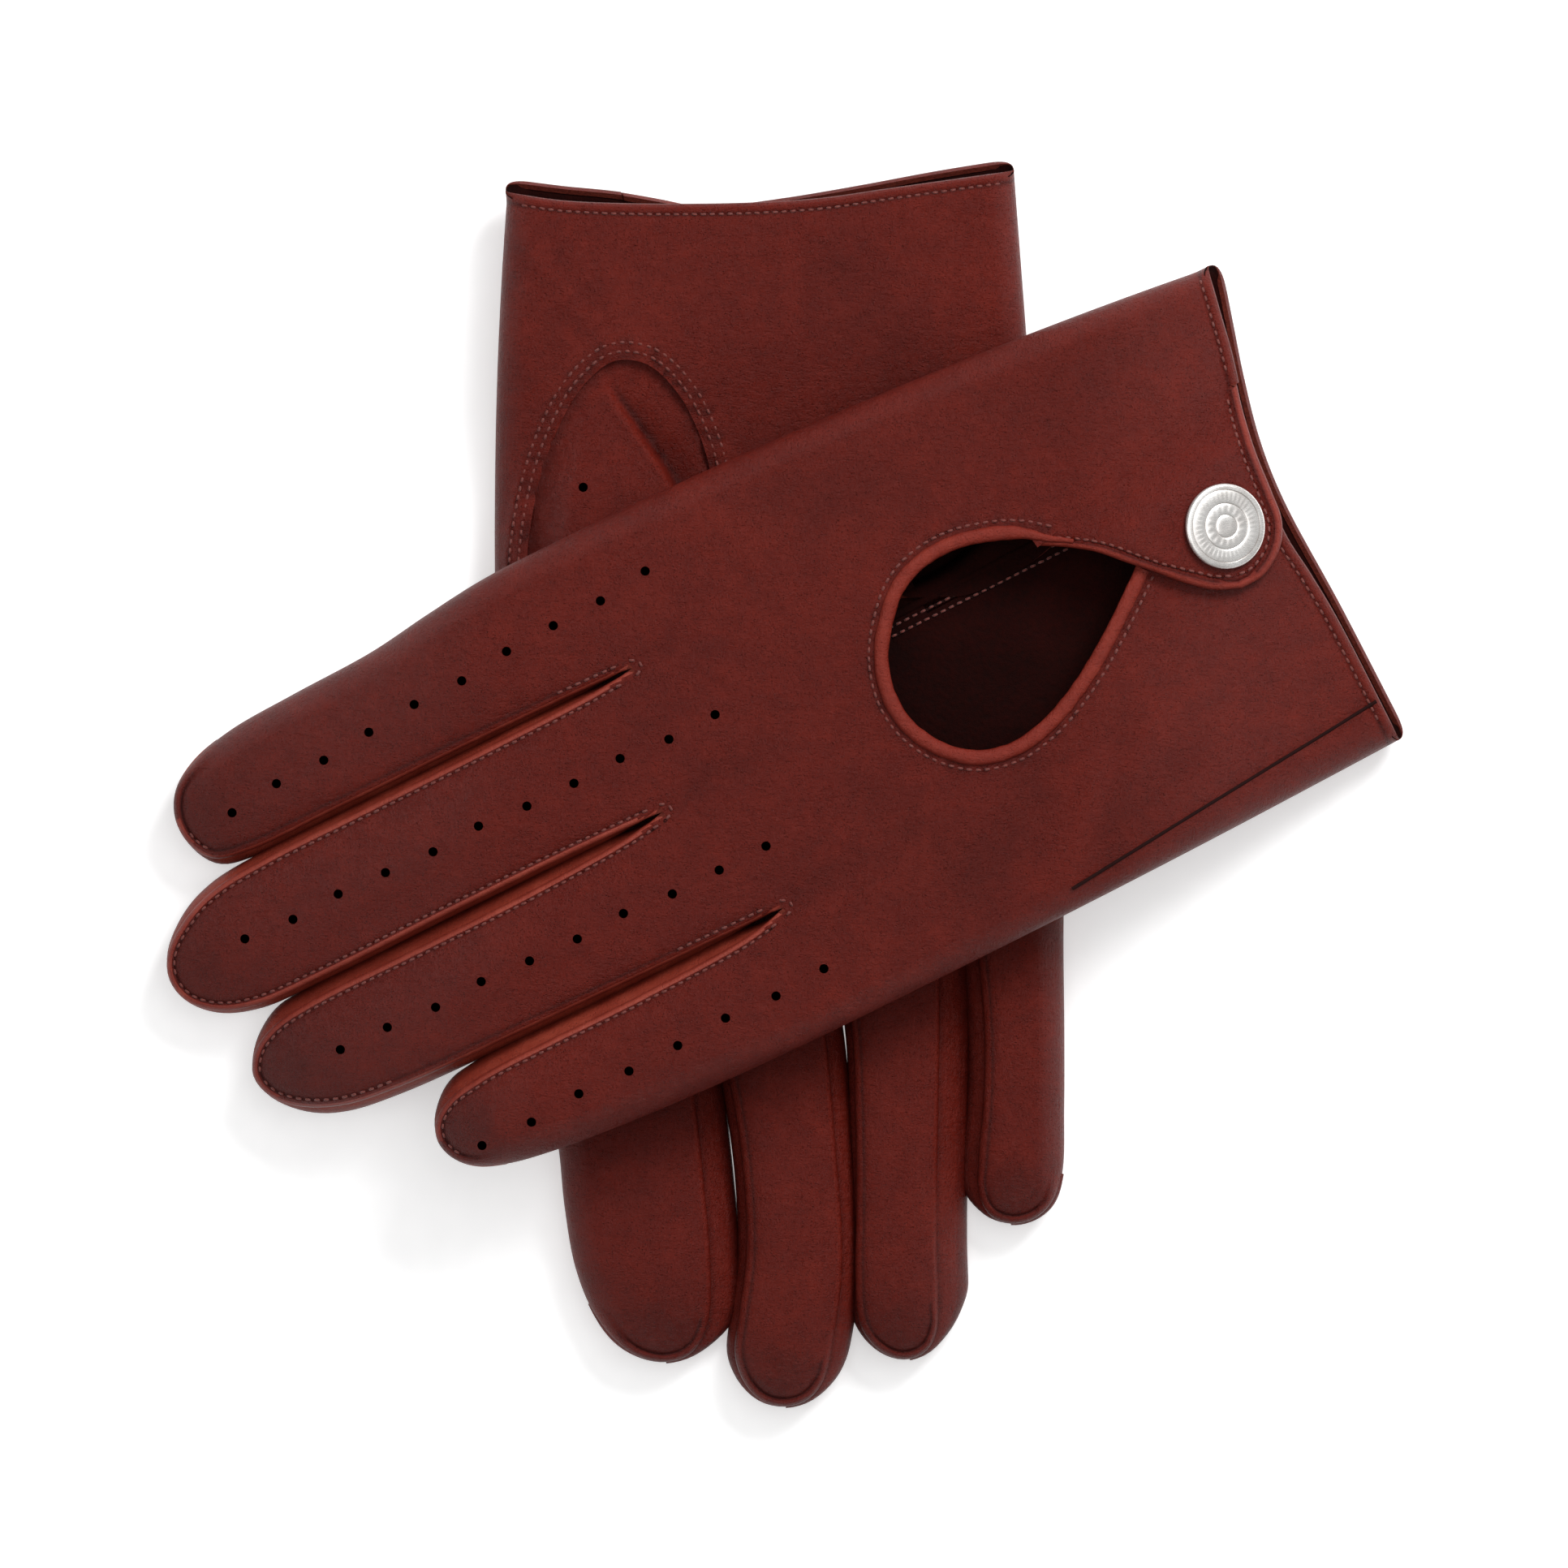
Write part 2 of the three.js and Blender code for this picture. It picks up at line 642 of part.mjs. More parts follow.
function snapCap() {
  const under = CAP_UNDERSIDE;
  const top = under + CAP_THICKNESS;
  const shank = GAP + STUD_BASE + STUD_HEAD_HEIGHT + GAP;
  return turned(
    [
      [0, shank],
      [CAP_SHANK_RADIUS, shank],
      [CAP_SHANK_RADIUS, under],
      [CAP_RADIUS, under],
      [CAP_RADIUS, top - 0.5],
      [CAP_RADIUS - 0.9, top],
      [0, top],
    ],
    24,
  );
}

function snapSocket() {
  const low = GAP + STUD_BASE + GAP;
  const high = low + SOCKET_HEIGHT;
  const bore = STUD_HEAD_RADIUS + GAP;
  return turned(
    [
      [bore, low],
      [SOCKET_RADIUS, low],
      [SOCKET_RADIUS, high],
      [bore, high],
      [bore, low],
    ],
    16,
  );
}

function snapStud() {
  const top = GAP + STUD_BASE + STUD_HEAD_HEIGHT;
  const bore = POST_SHANK_RADIUS + GAP;
  return turned(
    [
      [bore, GAP],
      [STUD_RADIUS, GAP],
      [STUD_RADIUS, GAP + STUD_BASE],
      [STUD_HEAD_RADIUS, GAP + STUD_BASE],
      [STUD_HEAD_RADIUS, top],
      [0, top],
      [0, top - STUD_BASE],
      [bore, top - STUD_BASE],
      [bore, GAP],
    ],
    16,
  );
}

function snapPost() {
  const under = -LEATHER - GAP;
  const top = STUD_HEAD_HEIGHT - GAP;
  return turned(
    [
      [0, under - POST_BASE],
      [POST_RADIUS, under - POST_BASE],
      [POST_RADIUS, under],
      [POST_SHANK_RADIUS, under],
      [POST_SHANK_RADIUS, top],
      [0, top],
    ],
    16,
  );
}

// ---- One glove ----------------------------------------------------------------------------------

function addPiece(group, name, geometry, material) {
  const mesh = new THREE.Mesh(geometry, material.clone());
  mesh.name = name;
  group.add(mesh);
}

function addFinger(glove, prefix, lie, k) {
  const name = prefix + FINGERS[k].name;
  const finger = new THREE.Group();
  addPiece(finger, name + "_back", fingerPanel(lie, k, 1), leather);
  addPiece(finger, name + "_palm", fingerPanel(lie, k, -1), leather);
  for (const side of [-1, 1]) {
    if (isFold(k, side)) continue;
    const where = side < 0 ? "_fourchette_index_side" : "_fourchette_little_side";
    addPiece(finger, name + where, fourchette(lie, k, side), sideLeather);
  }
  glove.add(finger);
}

function addSnapAndStrap(glove, prefix, lie) {
  const frame = snapFrame(lie);
  const shankHole = boreCutter(frame, CAP_SHANK_RADIUS + GAP);
  addPiece(glove, prefix + "strap", cut(strap(lie), shankHole), leather);
  addPiece(frame, prefix + "snap_cap", snapCap(), nickel);
  addPiece(frame, prefix + "snap_socket", snapSocket(), nickel);
  addPiece(frame, prefix + "snap_stud", snapStud(), nickel);
  addPiece(frame, prefix + "snap_post", snapPost(), nickel);
  glove.add(frame);
}

function buildGlove(prefix, lie) {
  const glove = new THREE.Group();
  const postHole = boreCutter(snapFrame(lie), POST_SHANK_RADIUS + GAP);
  const back = cut(handPanel(lie, 1, BACK_CUFF), keyholeOpening(), strapOpening(), postHole);
  addPiece(glove, prefix + "back_panel", back, leather);
  addPiece(glove, prefix + "palm_panel", cut(handPanel(lie, -1, PALM_CUFF), thumbOpening()), leather);
  addPiece(glove, prefix + "thumb_front", thumbFront(lie), leather);
  addPiece(glove, prefix + "thumb_back", thumbBack(lie), leather);
  addPiece(glove, prefix + "keyhole_binding", keyholeBinding(lie), bindingLeather);
  for (let k = 0; k + 1 < FINGERS.length; k++) {
    const name = prefix + "fork_" + FINGERS[k].name + "_" + FINGERS[k + 1].name;
    addPiece(glove, name, fork(lie, k), sideLeather);
  }
  FINGERS.forEach((finger, k) => addFinger(glove, prefix, lie, k));
  addSnapAndStrap(glove, prefix, lie);
  return glove;
}

// ---- The pair -----------------------------------------------------------------------------------

const leftGlove = buildGlove("left_", gloveLie(leftDrape, LEFT_PALM_SHIFT, LEFT_SPREAD));
leftGlove.name = "left_glove";
leftGlove.position.set(LEFT_PLACE.x, LEFT_PLACE.y, 0);
leftGlove.rotation.z = degToRad(LEFT_PLACE.turn);

// The right glove is the left one's mirror image, turned over.
const rightGlove = buildGlove("right_", gloveLie(rightDrape, RIGHT_PALM_SHIFT, RIGHT_SPREAD));
rightGlove.name = "right_glove";
rightGlove.position.set(RIGHT_PLACE.x, RIGHT_PLACE.y, GLOVE_HEIGHT);
rightGlove.rotation.z = degToRad(RIGHT_PLACE.turn);
rightGlove.scale.z = -1;

const pair = new THREE.Group();
pair.add(leftGlove, rightGlove);
pair.updateMatrixWorld(true);
const box = new THREE.Box3().setFromObject(pair, true);
const middle = box.getCenter(new THREE.Vector3());
pair.position.set(-middle.x, -middle.y, -box.min.z);

const gloves = new THREE.Group();
gloves.name = "driving_gloves";
gloves.add(pair);

export default gloves;
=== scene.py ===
"""A pair of leather driving gloves: the looks of each piece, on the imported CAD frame.

A glove is worked out in its own millimetres: u runs from the cuff to the fingertips, v from the index
side to the little finger's side, and w from the outside of the palm (0) to the outside of the back.
"""

import math
from collections import namedtuple

import bpy
import numpy as np
from mathutils import Matrix, Vector

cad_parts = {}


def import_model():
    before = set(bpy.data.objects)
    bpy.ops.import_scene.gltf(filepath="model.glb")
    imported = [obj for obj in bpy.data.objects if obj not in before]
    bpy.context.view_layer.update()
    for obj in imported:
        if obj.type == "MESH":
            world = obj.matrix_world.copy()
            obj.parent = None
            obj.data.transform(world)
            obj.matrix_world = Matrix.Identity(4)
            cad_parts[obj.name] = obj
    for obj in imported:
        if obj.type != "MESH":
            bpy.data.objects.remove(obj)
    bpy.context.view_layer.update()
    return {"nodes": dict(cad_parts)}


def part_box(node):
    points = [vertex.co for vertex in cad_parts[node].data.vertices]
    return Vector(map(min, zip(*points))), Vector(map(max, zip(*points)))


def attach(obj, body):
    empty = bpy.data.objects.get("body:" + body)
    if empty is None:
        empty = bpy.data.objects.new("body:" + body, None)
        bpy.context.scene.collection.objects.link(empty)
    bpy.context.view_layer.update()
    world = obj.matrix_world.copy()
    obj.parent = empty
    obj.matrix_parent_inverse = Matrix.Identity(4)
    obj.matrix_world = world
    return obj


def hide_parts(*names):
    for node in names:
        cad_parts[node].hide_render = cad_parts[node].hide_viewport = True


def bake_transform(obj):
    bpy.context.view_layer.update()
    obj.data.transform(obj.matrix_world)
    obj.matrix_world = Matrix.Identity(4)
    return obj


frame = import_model()

MM = 0.001
LEATHER = 1.0  # thickness
STRIP_LEATHER = 0.8  # thickness of the thumb and of the strips between the fingers
HEIGHT = 9.5  # palm to back
MIDDLE = HEIGHT / 2
HAND_LENGTH = 121
HALF_CUFF = 45.5
SNAP_HEIGHT = 5.3  # top of the cap, over the back
STRAP_CLIMB = 3.9  # outside of the strap over the back, at the snap
SNAP_PLACE = (16.7, -3.0)
STRAP_ROOT = ((-2.0, -25.7), (47.0, -14.0))  # the fold that the strap opens on
CUFF_RAMP = (23, 54)  # the right cuff comes down from its snap between these
DRAPE = (50, 112)  # the left glove falls between these distances from the right one's middle
REST_HEIGHT = 1.5
# How each glove is turned, and where its cuff's middle lies before the pair is moved onto the frame.
TURNS = {"left": math.radians(205.97), "right": math.radians(-85.6)}
PLACES = {"left": np.array([94.1, 50.3]), "right": np.array([-3.5, 107.3])}

# ---- Numbers ------------------------------------------------------------------------------------


def smooth(x, start, end):
    t = np.clip((np.asarray(x, float) - start) / (end - start), 0, 1)
    return t * t * (3 - 2 * t)


def mix(a, b, t):
    return a + (b - a) * t


def noise(u, v, scale, seed):
    """Smooth random relief from -1 to 1, with features of about scale."""
    size = 64
    lattice = np.random.default_rng(seed).uniform(-1, 1, (size, size))
    # The glove's origin lies somewhere inside the lattice, which repeats.
    x, y = np.asarray(u, float) / scale + 17, np.asarray(v, float) / scale + 29
    i, j = np.floor(x).astype(int), np.floor(y).astype(int)
    s, t = x - i, y - j
    s, t = s * s * (3 - 2 * s), t * t * (3 - 2 * t)

    def corner(a, b):
        return lattice[(i + a) % size, (j + b) % size]

    return mix(mix(corner(0, 0), corner(1, 0), s), mix(corner(0, 1), corner(1, 1), s), t)


def spline(points, per_piece=14):
    """A smooth curve through the points: a centripetal Catmull-Rom spline."""
    p = np.array(points, float)
    p = np.vstack([2 * p[0] - p[1], p, 2 * p[-1] - p[-2]])
    out = []
    for a, b, c, d in zip(p, p[1:], p[2:], p[3:]):
        knots = [0.0]
        for first, second in ((a, b), (b, c), (c, d)):
            knots.append(knots[-1] + math.sqrt(np.linalg.norm(second - first)))
        k0, k1, k2, k3 = knots
        t = np.linspace(k1, k2, per_piece, endpoint=False)[:, None]
        a1 = (k1 - t) / (k1 - k0) * a + (t - k0) / (k1 - k0) * b
        a2 = (k2 - t) / (k2 - k1) * b + (t - k1) / (k2 - k1) * c
        a3 = (k3 - t) / (k3 - k2) * c + (t - k2) / (k3 - k2) * d
        b1 = (k2 - t) / (k2 - k0) * a1 + (t - k0) / (k2 - k0) * a2
        b2 = (k3 - t) / (k3 - k1) * a2 + (t - k1) / (k3 - k1) * a3
        out.append((k2 - t) / (k2 - k1) * b1 + (t - k1) / (k2 - k1) * b2)
    return np.vstack(out + [p[-2:-1]])


def along(line):
    """How far each point is from the line's start, along it."""
    return np.concatenate([[0], np.cumsum(np.linalg.norm(np.diff(line, axis=0), axis=1))])


def even(line, count):
    """The line again, with count points at even steps."""
    run = along(line)
    at = np.linspace(0, run[-1], count)
    return np.column_stack([np.interp(at, run, column) for column in line.T])


def distance_to(u, v, line):
    """How far points are from a line in u and v."""
    u, v = np.asarray(u, float), np.asarray(v, float)
    best = np.full(u.shape, 1e9)
    for (au, av), (bu, bv) in zip(line[:-1], line[1:]):
        du, dv = bu - au, bv - av
        t = np.clip(((u - au) * du + (v - av) * dv) / max(du * du + dv * dv, 1e-9), 0, 1)
        best = np.minimum(best, np.hypot(u - au - t * du, v - av - t * dv))
    return best


# ---- How the gloves lie -------------------------------------------------------------------------


def turned(side, u, v):
    """x and y of a place on a glove, before the pair is moved onto the frame."""
    c, s = math.cos(TURNS[side]), math.sin(TURNS[side])
    x, y = PLACES[side]
    return x + u * c - v * s, y + u * s + v * c


snap_low, snap_high = (np.array(corner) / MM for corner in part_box("right_snap_stud"))
PAIR_SHIFT = (snap_low + snap_high)[:2] / 2 - np.array(turned("right", *SNAP_PLACE))
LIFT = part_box("left_back_panel")[1][2] / MM - HEIGHT


def drape(side, u, v):
    """How far a place on a glove is raised, along its own w."""
    if side == "right":
        return -SNAP_HEIGHT * (1 - smooth(u, *CUFF_RAMP))
    x, y = turned("left", u, v)
    c, s = math.cos(TURNS["right"]), math.sin(TURNS["right"])
    across = -(x - PLACES["right"][0]) * s + (y - PLACES["right"][1]) * c
    return mix(LIFT, REST_HEIGHT, smooth(np.abs(across), *DRAPE))


def world(side, points):
    """Metres in the shared frame, from a glove's own u, v and w."""
    p = np.asarray(points, float).reshape(-1, 3)
    u, v, w = p.T
    x, y = turned(side, u, v)
    lifted = w + drape(side, u, v)
    z = lifted if side == "left" else HEIGHT - lifted
    return np.column_stack([x + PAIR_SHIFT[0], y + PAIR_SHIFT[1], z]) * MM


# ---- Meshes -------------------------------------------------------------------------------------


def weld(points, quads):
    """Joins points that coincide, and drops the quads that collapse.

    Returns the points, the faces, the numbers of the quads they come from, and those of the points.
    """
    _, first, where = np.unique(np.round(points, 3), axis=0, return_index=True, return_inverse=True)
    where = where.reshape(-1)
    faces, kept = [], []
    for n, quad in enumerate(quads):
        ring = []
        for k in where[list(quad)]:
            if not ring or (k != ring[-1] and k != ring[0]):
                ring.append(k)
        if len(ring) > 2 and len(set(ring)) == len(ring):
            faces.append(ring)
            kept.append(n)
    return points[first], faces, kept, first


def grid_quads(rows, columns, offset=0, closed=False):
    """The quads of a grid of points, whose rows can close on themselves."""
    quads = []
    for i in range(rows - 1):
        for j in range(columns - (0 if closed else 1)):
            k = (j + 1) % columns
            a, b = offset + i * columns, offset + (i + 1) * columns
            quads.append((a + j, b + j, b + k, a + k))
    return quads


def point_normals(points, faces):
    normals = np.zeros_like(points)
    for corners in (3, 4):
        rings = np.array([face for face in faces if len(face) == corners], int).reshape(-1, corners)
        ring = points[rings]
        turn = np.cross(ring[:, 0], ring[:, 1])
        for k in range(1, corners):
            turn = turn + np.cross(ring[:, k], ring[:, (k + 1) % corners])
        for k in range(corners):
            np.add.at(normals, rings[:, k], turn)
    return normals / np.maximum(np.linalg.norm(normals, axis=1, keepdims=True), 1e-12)


def thicken(points, faces, outward, depth, slots):
    """Closes a sheet into a slab: its inside takes the second material, and its rim the third."""
    normals = point_normals(points, faces)
    if np.sum(normals @ np.array(outward)) < 0:
        faces = [face[::-1] for face in faces]
        normals = -normals
    count = len(points)
    edges = {edge for face in faces for edge in zip(face, face[1:] + face[:1])}
    rim = sorted((b, a, a + count, b + count) for a, b in edges if (b, a) not in edges)
    inside = [[k + count for k in face[::-1]] for face in faces]
    slots = slots + [1] * len(inside) + [2] * len(rim)
    return np.vstack([points, points - normals * depth]), faces + inside + rim, slots


def add_object(name, data):
    thing = bpy.data.objects.new(name, data)
    bpy.context.scene.collection.objects.link(thing)
    return thing


def build(name, side, points, faces, materials, slots=None, tone=None, sharp=50):
    """A mesh object from a glove's own millimetres."""
    mesh = bpy.data.meshes.new(name)
    mesh.from_pydata(world(side, points).tolist(), [], [list(map(int, face)) for face in faces])
    for material in materials:
        mesh.materials.append(material)
    if slots is not None:
        mesh.polygons.foreach_set("material_index", np.array(slots, np.int32))
    shade = mesh.attributes.new("tone", "FLOAT", "POINT")
    values = np.zeros(len(points)) if tone is None else np.asarray(tone, float)
    shade.data.foreach_set("value", values.astype(np.float32))
    mesh.validate()
    piece = add_object(name, mesh)
    mesh.shade_smooth()
    if side == "right":
        mesh.flip_normals()
    mesh.set_sharp_from_angle(angle=math.radians(sharp))
    return piece


def slab(name, side, points, quads, tone, outward, materials, depth=LEATHER, slots=None):
    """A sheet as a closed piece of leather. depth and tone go with the points, slots with the quads."""
    points, faces, kept, first = weld(points, quads)
    depth = np.broadcast_to(depth, len(tone))[first][:, None]
    outer = [0] * len(faces) if slots is None else [slots[n] for n in kept]
    solid, faces, slots = thicken(points, faces, outward, depth, outer)
    tone = np.concatenate([tone[first], np.zeros(len(first))])
    return build(name, side, solid, faces, materials, slots, tone)


def follow(piece, side, finger, slot, *nodes):
    """Rides on the hand, or keeps its place in the frame for a finger, and stands for CAD nodes."""
    if finger is None:
        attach(piece, side + "_hand")
    else:
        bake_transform(piece)
    finish_piece(side, nodes)


def finish_piece(side, nodes):
    if nodes:
        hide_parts(*[side + "_" + node for node in nodes])


# ---- Materials ----------------------------------------------------------------------------------


class Nodes:
    """Short calls for a material's nodes."""

    def __init__(self, name):
        self.material = bpy.data.materials.new(name)
        self.material.use_nodes = True
        self.tree = self.material.node_tree
        self.shader = self.tree.nodes["Principled BSDF"]
        self.place = self.add("ShaderNodeTexCoord").outputs["Object"]

    def add(self, kind, **settings):
        node = self.tree.nodes.new(kind)
        for key, value in settings.items():
            setattr(node, key, value)
        return node

    def link(self, source, target):
        if isinstance(source, (int, float)):
            target.default_value = source
        elif isinstance(source, tuple):
            target.default_value = (*source, 1)[: len(target.default_value)]
        else:
            self.tree.links.new(source, target)

    def noise(self, scale, detail=3.0, roughness=0.55, stretch=None):
        node = self.add("ShaderNodeTexNoise")
        self.link(self.stretched(stretch), node.inputs["Vector"])
        node.inputs["Scale"].default_value = scale
        node.inputs["Detail"].default_value = detail
        node.inputs["Roughness"].default_value = roughness
        return node.outputs["Fac"]

    def cells(self, scale):
        """Cells drawn a little out of line, so that they don't look machined."""
        node = self.add("ShaderNodeTexVoronoi")
        drift = self.add("ShaderNodeTexNoise")
        self.link(self.place, drift.inputs["Vector"])
        drift.inputs["Scale"].default_value = scale * 0.6
        moved = self.add("ShaderNodeVectorMath", operation="MULTIPLY_ADD")
        self.link(drift.outputs["Color"], moved.inputs[0])
        moved.inputs[1].default_value = (0.7 / scale,) * 3
        self.link(self.place, moved.inputs[2])
        self.link(moved.outputs[0], node.inputs["Vector"])
        node.inputs["Scale"].default_value = scale
        return node.outputs["Distance"]

    def stretched(self, stretch):
        if stretch is None:
            return self.place
        mapping = self.add("ShaderNodeMapping")
        self.link(self.place, mapping.inputs["Vector"])
        mapping.inputs["Scale"].default_value = stretch[:3]
        mapping.inputs["Rotation"].default_value = (0, 0, stretch[3])
        return mapping.outputs[0]

    def ramp(self, value, stops):
        node = self.add("ShaderNodeValToRGB")
        self.link(value, node.inputs["Fac"])
        elements = node.color_ramp.elements
        while len(elements) < len(stops):
            elements.new(0.5)
        for element, (place, colour) in zip(elements, stops):
            element.position = place
            element.color = (*colour, 1)
        return node.outputs["Color"]

    def math(self, operation, a, b=0.0, clamp=False):
        node = self.add("ShaderNodeMath", operation=operation, use_clamp=clamp)
        self.link(a, node.inputs[0])
        self.link(b, node.inputs[1])
        return node.outputs[0]

    def blend(self, kind, share, a, b):
        node = self.add("ShaderNodeMix", data_type="RGBA", blend_type=kind)
        self.link(share, node.inputs["Factor"])
        # The sockets for colours come after those for numbers and vectors.
        self.link(a, node.inputs[6])
        self.link(b, node.inputs[7])
        return node.outputs[2]

    def tone(self):
        """The painted tone: a painted highlight where it is above zero, and painted shade where the place lies
        deep, below zero.
        """
        tone = self.add("ShaderNodeAttribute", attribute_name="tone").outputs["Fac"]
        painted_highlight = self.math("MAXIMUM", tone, 0.0, clamp=True)
        return painted_highlight, self.math("MULTIPLY", self.math("MINIMUM", tone, 0.0), -1.0, clamp=True)

    def sum(self, share, a, b):
        """a and b, added in shares that make one."""
        rest = round(1 - share, 6)
        return self.math("ADD", self.math("MULTIPLY", a, share), self.math("MULTIPLY", b, rest))

    def between(self, value, low, high, start=0.0, end=1.0):
        node = self.add("ShaderNodeMapRange")
        self.link(value, node.inputs["Value"])
        for key, number in zip(("From Min", "From Max", "To Min", "To Max"), (low, high, start, end)):
            node.inputs[key].default_value = number
        return node.outputs[0]

    def bump(self, height, depth, strength=1.0, under=None):
        node = self.add("ShaderNodeBump")
        node.inputs["Strength"].default_value = strength
        node.inputs["Distance"].default_value = depth
        self.link(height, node.inputs["Height"])
        if under is not None:
            self.link(under, node.inputs["Normal"])
        return node.outputs[0]

    def set(self, **sockets):
        for key, value in sockets.items():
            self.link(value, self.shader.inputs[key.replace("_", " ")])

    def level(self, specular, tint=None):
        """The strength of the highlights, and the colour of the sheen."""
        self.shader.inputs["Specular IOR Level"].default_value = specular
        if tint:
            self.shader.inputs["Sheen Tint"].default_value = (*tint, 1)


def linear(red, green, blue):
    """A colour given as 0 to 255 values on a screen."""
    shares = [value / 255 for value in (red, green, blue)]
    return tuple(x / 12.92 if x < 10 / 255 else ((x + 0.055) / 1.055) ** 2.4 for x in shares)


def leather(name, dark, middle, light, gloss, grain, pebble, sheen):
    """Smooth gloving leather: dyed colour that varies, fine pores and creases, a sheen, and the tone's painted
    highlights and painted shade.
    """
    n = Nodes(name)
    small = n.noise(260, 6, 0.7)
    cloudy = n.sum(0.3, n.noise(34, 3), small)
    colour = n.ramp(cloudy, [(0.2, dark), (0.5, middle), (0.82, light)])
    pores = n.between(n.cells(2100), 0.0, 0.32)
    fine = n.noise(5200, 2, 0.6)
    pits = n.ramp(pores, [(0.0, (0.74, 0.7, 0.7)), (0.55, (1, 1, 1))])
    colour = n.blend("MULTIPLY", 0.55, colour, pits)
    painted_highlight, deep = n.tone()
    # Painted highlight towards the light colour, and painted shade in grooves, folds and seams.
    colour = n.blend("MIX", painted_highlight, colour, light)
    colour = n.blend("MULTIPLY", deep, colour, (0.33, 0.27, 0.27))
    rough = n.between(n.sum(0.6, small, fine), 0.3, 0.7, *gloss)
    creases = n.noise(420, 6, 0.7, stretch=(1, 3.2, 1, 0.5))
    crossing = n.noise(420, 6, 0.7, stretch=(3.2, 1, 1, 0.2))
    normal = n.bump(n.math("MINIMUM", creases, crossing), 0.00035 * pebble)
    normal = n.bump(pores, 0.00008 * grain, under=normal)
    normal = n.bump(fine, 0.00003 * grain, under=normal)
    n.set(Base_Color=colour, Roughness=rough, Normal=normal, Sheen_Weight=sheen, Sheen_Roughness=0.45)
    n.level(0.22, light)
    return n.material


def suede(name, dark, light):
    """The flesh side of the leather: matt, napped and mottled."""
    n = Nodes(name)
    nap = n.noise(900, 6, 0.7)
    colour = n.ramp(n.sum(0.5, nap, n.noise(70, 3)), [(0.38, dark), (0.64, light)])
    rough = n.between(nap, 0.2, 0.8, 0.82, 0.98)
    normal = n.bump(nap, 0.0004)
    n.set(Base_Color=colour, Roughness=rough, Normal=normal, Sheen_Weight=0.06, Sheen_Roughness=0.6)
    n.level(0.08, light)
    return n.material


def cut_edge(name, dark, light):
    """A cut edge of the leather, with the fibres of its thickness."""
    n = Nodes(name)
    fibre = n.noise(1800, 4, 0.7, stretch=(1, 1, 4, 0))
    colour = n.ramp(fibre, [(0.35, dark), (0.65, light)])
    n.set(Base_Color=colour, Roughness=n.between(fibre, 0.3, 0.7, 0.7, 0.9), Normal=n.bump(fibre, 0.0001))
    n.level(0.12)
    return n.material


def thread(name, dark, light):
    """Twisted thread: slanting plies, a little shine."""
    n = Nodes(name)
    ply = n.noise(3200, 2, stretch=(1, 2.4, 1, 0.7))
    colour = n.ramp(ply, [(0.35, dark), (0.62, light)])
    rough = n.between(ply, 0.3, 0.7, 0.45, 0.65)
    n.set(Base_Color=colour, Roughness=rough, Normal=n.bump(ply, 0.00012), Sheen_Weight=0.2)
    return n.material


def nickel(name, gloss, scratch):
    """Plated metal with a fine brushed grain and small marks, and painted shade in its grooves where the tone
    lies deep.
    """
    n = Nodes(name)
    brushed = n.noise(1500, 3, stretch=(1, 9, 1, 0.6))
    colour = n.ramp(n.noise(240, 4), [(0.35, linear(226, 221, 217)), (0.65, linear(250, 248, 245))])
    # Painted shade: darker where the tone lies deep, in the cap's turned grooves.
    colour = n.blend("MULTIPLY", n.tone()[1], colour, (0.42, 0.38, 0.36))
    rough = n.between(brushed, 0.25, 0.75, *gloss)
    n.set(Base_Color=colour, Roughness=rough, Metallic=0.72, Normal=n.bump(brushed, scratch))
    return n.material


OXBLOOD = leather(
    "glove_leather", linear(80, 15, 8), linear(97, 21, 10), linear(117, 30, 16), (0.34, 0.48), 2.6, 2.2, 0.02
)
# A lighter copy of the glove's leather for the left glove's strips between the fingers: painted light that
# lifts the shade they lie in.
LIGHTENED_SIDE = leather(
    "side_leather", linear(100, 30, 19), linear(128, 44, 30), linear(156, 68, 50), (0.4, 0.54), 1.6, 1.2, 0.02
)
# A lighter copy of the glove's leather for the keyhole's binding and the strap's rim: a painted highlight on
# their raised edges.
BINDING_HIGHLIGHT = leather(
    "binding_leather", linear(92, 22, 14), linear(116, 33, 22), linear(148, 56, 41), (0.36, 0.5), 1.2, 1.6, 0.03
)
# A lighter copy of the glove's leather for the fingers' beaded edges: a painted highlight.
BEAD_HIGHLIGHT = leather(
    "bead_highlight_leather", linear(98, 27, 19), linear(124, 42, 31), linear(164, 76, 60), (0.36, 0.5), 1.2, 1.0, 0.03
)
SUEDE = suede("suede_inside", linear(20, 2, 1), linear(36, 5, 3))
EDGE = cut_edge("cut_edge", linear(70, 22, 17), linear(112, 46, 34))
THREAD = thread("thread", linear(84, 24, 17), linear(120, 46, 33))
# Near-black painted shade, in the needle holes and along the left back's side seam.
HOLE_SHADE = cut_edge("needle_hole_shade", linear(22, 5, 4), linear(38, 10, 8))
NICKEL = nickel("nickel", (0.22, 0.34), 0.000004)

# ---- Outlines -----------------------------------------------------------------------------------

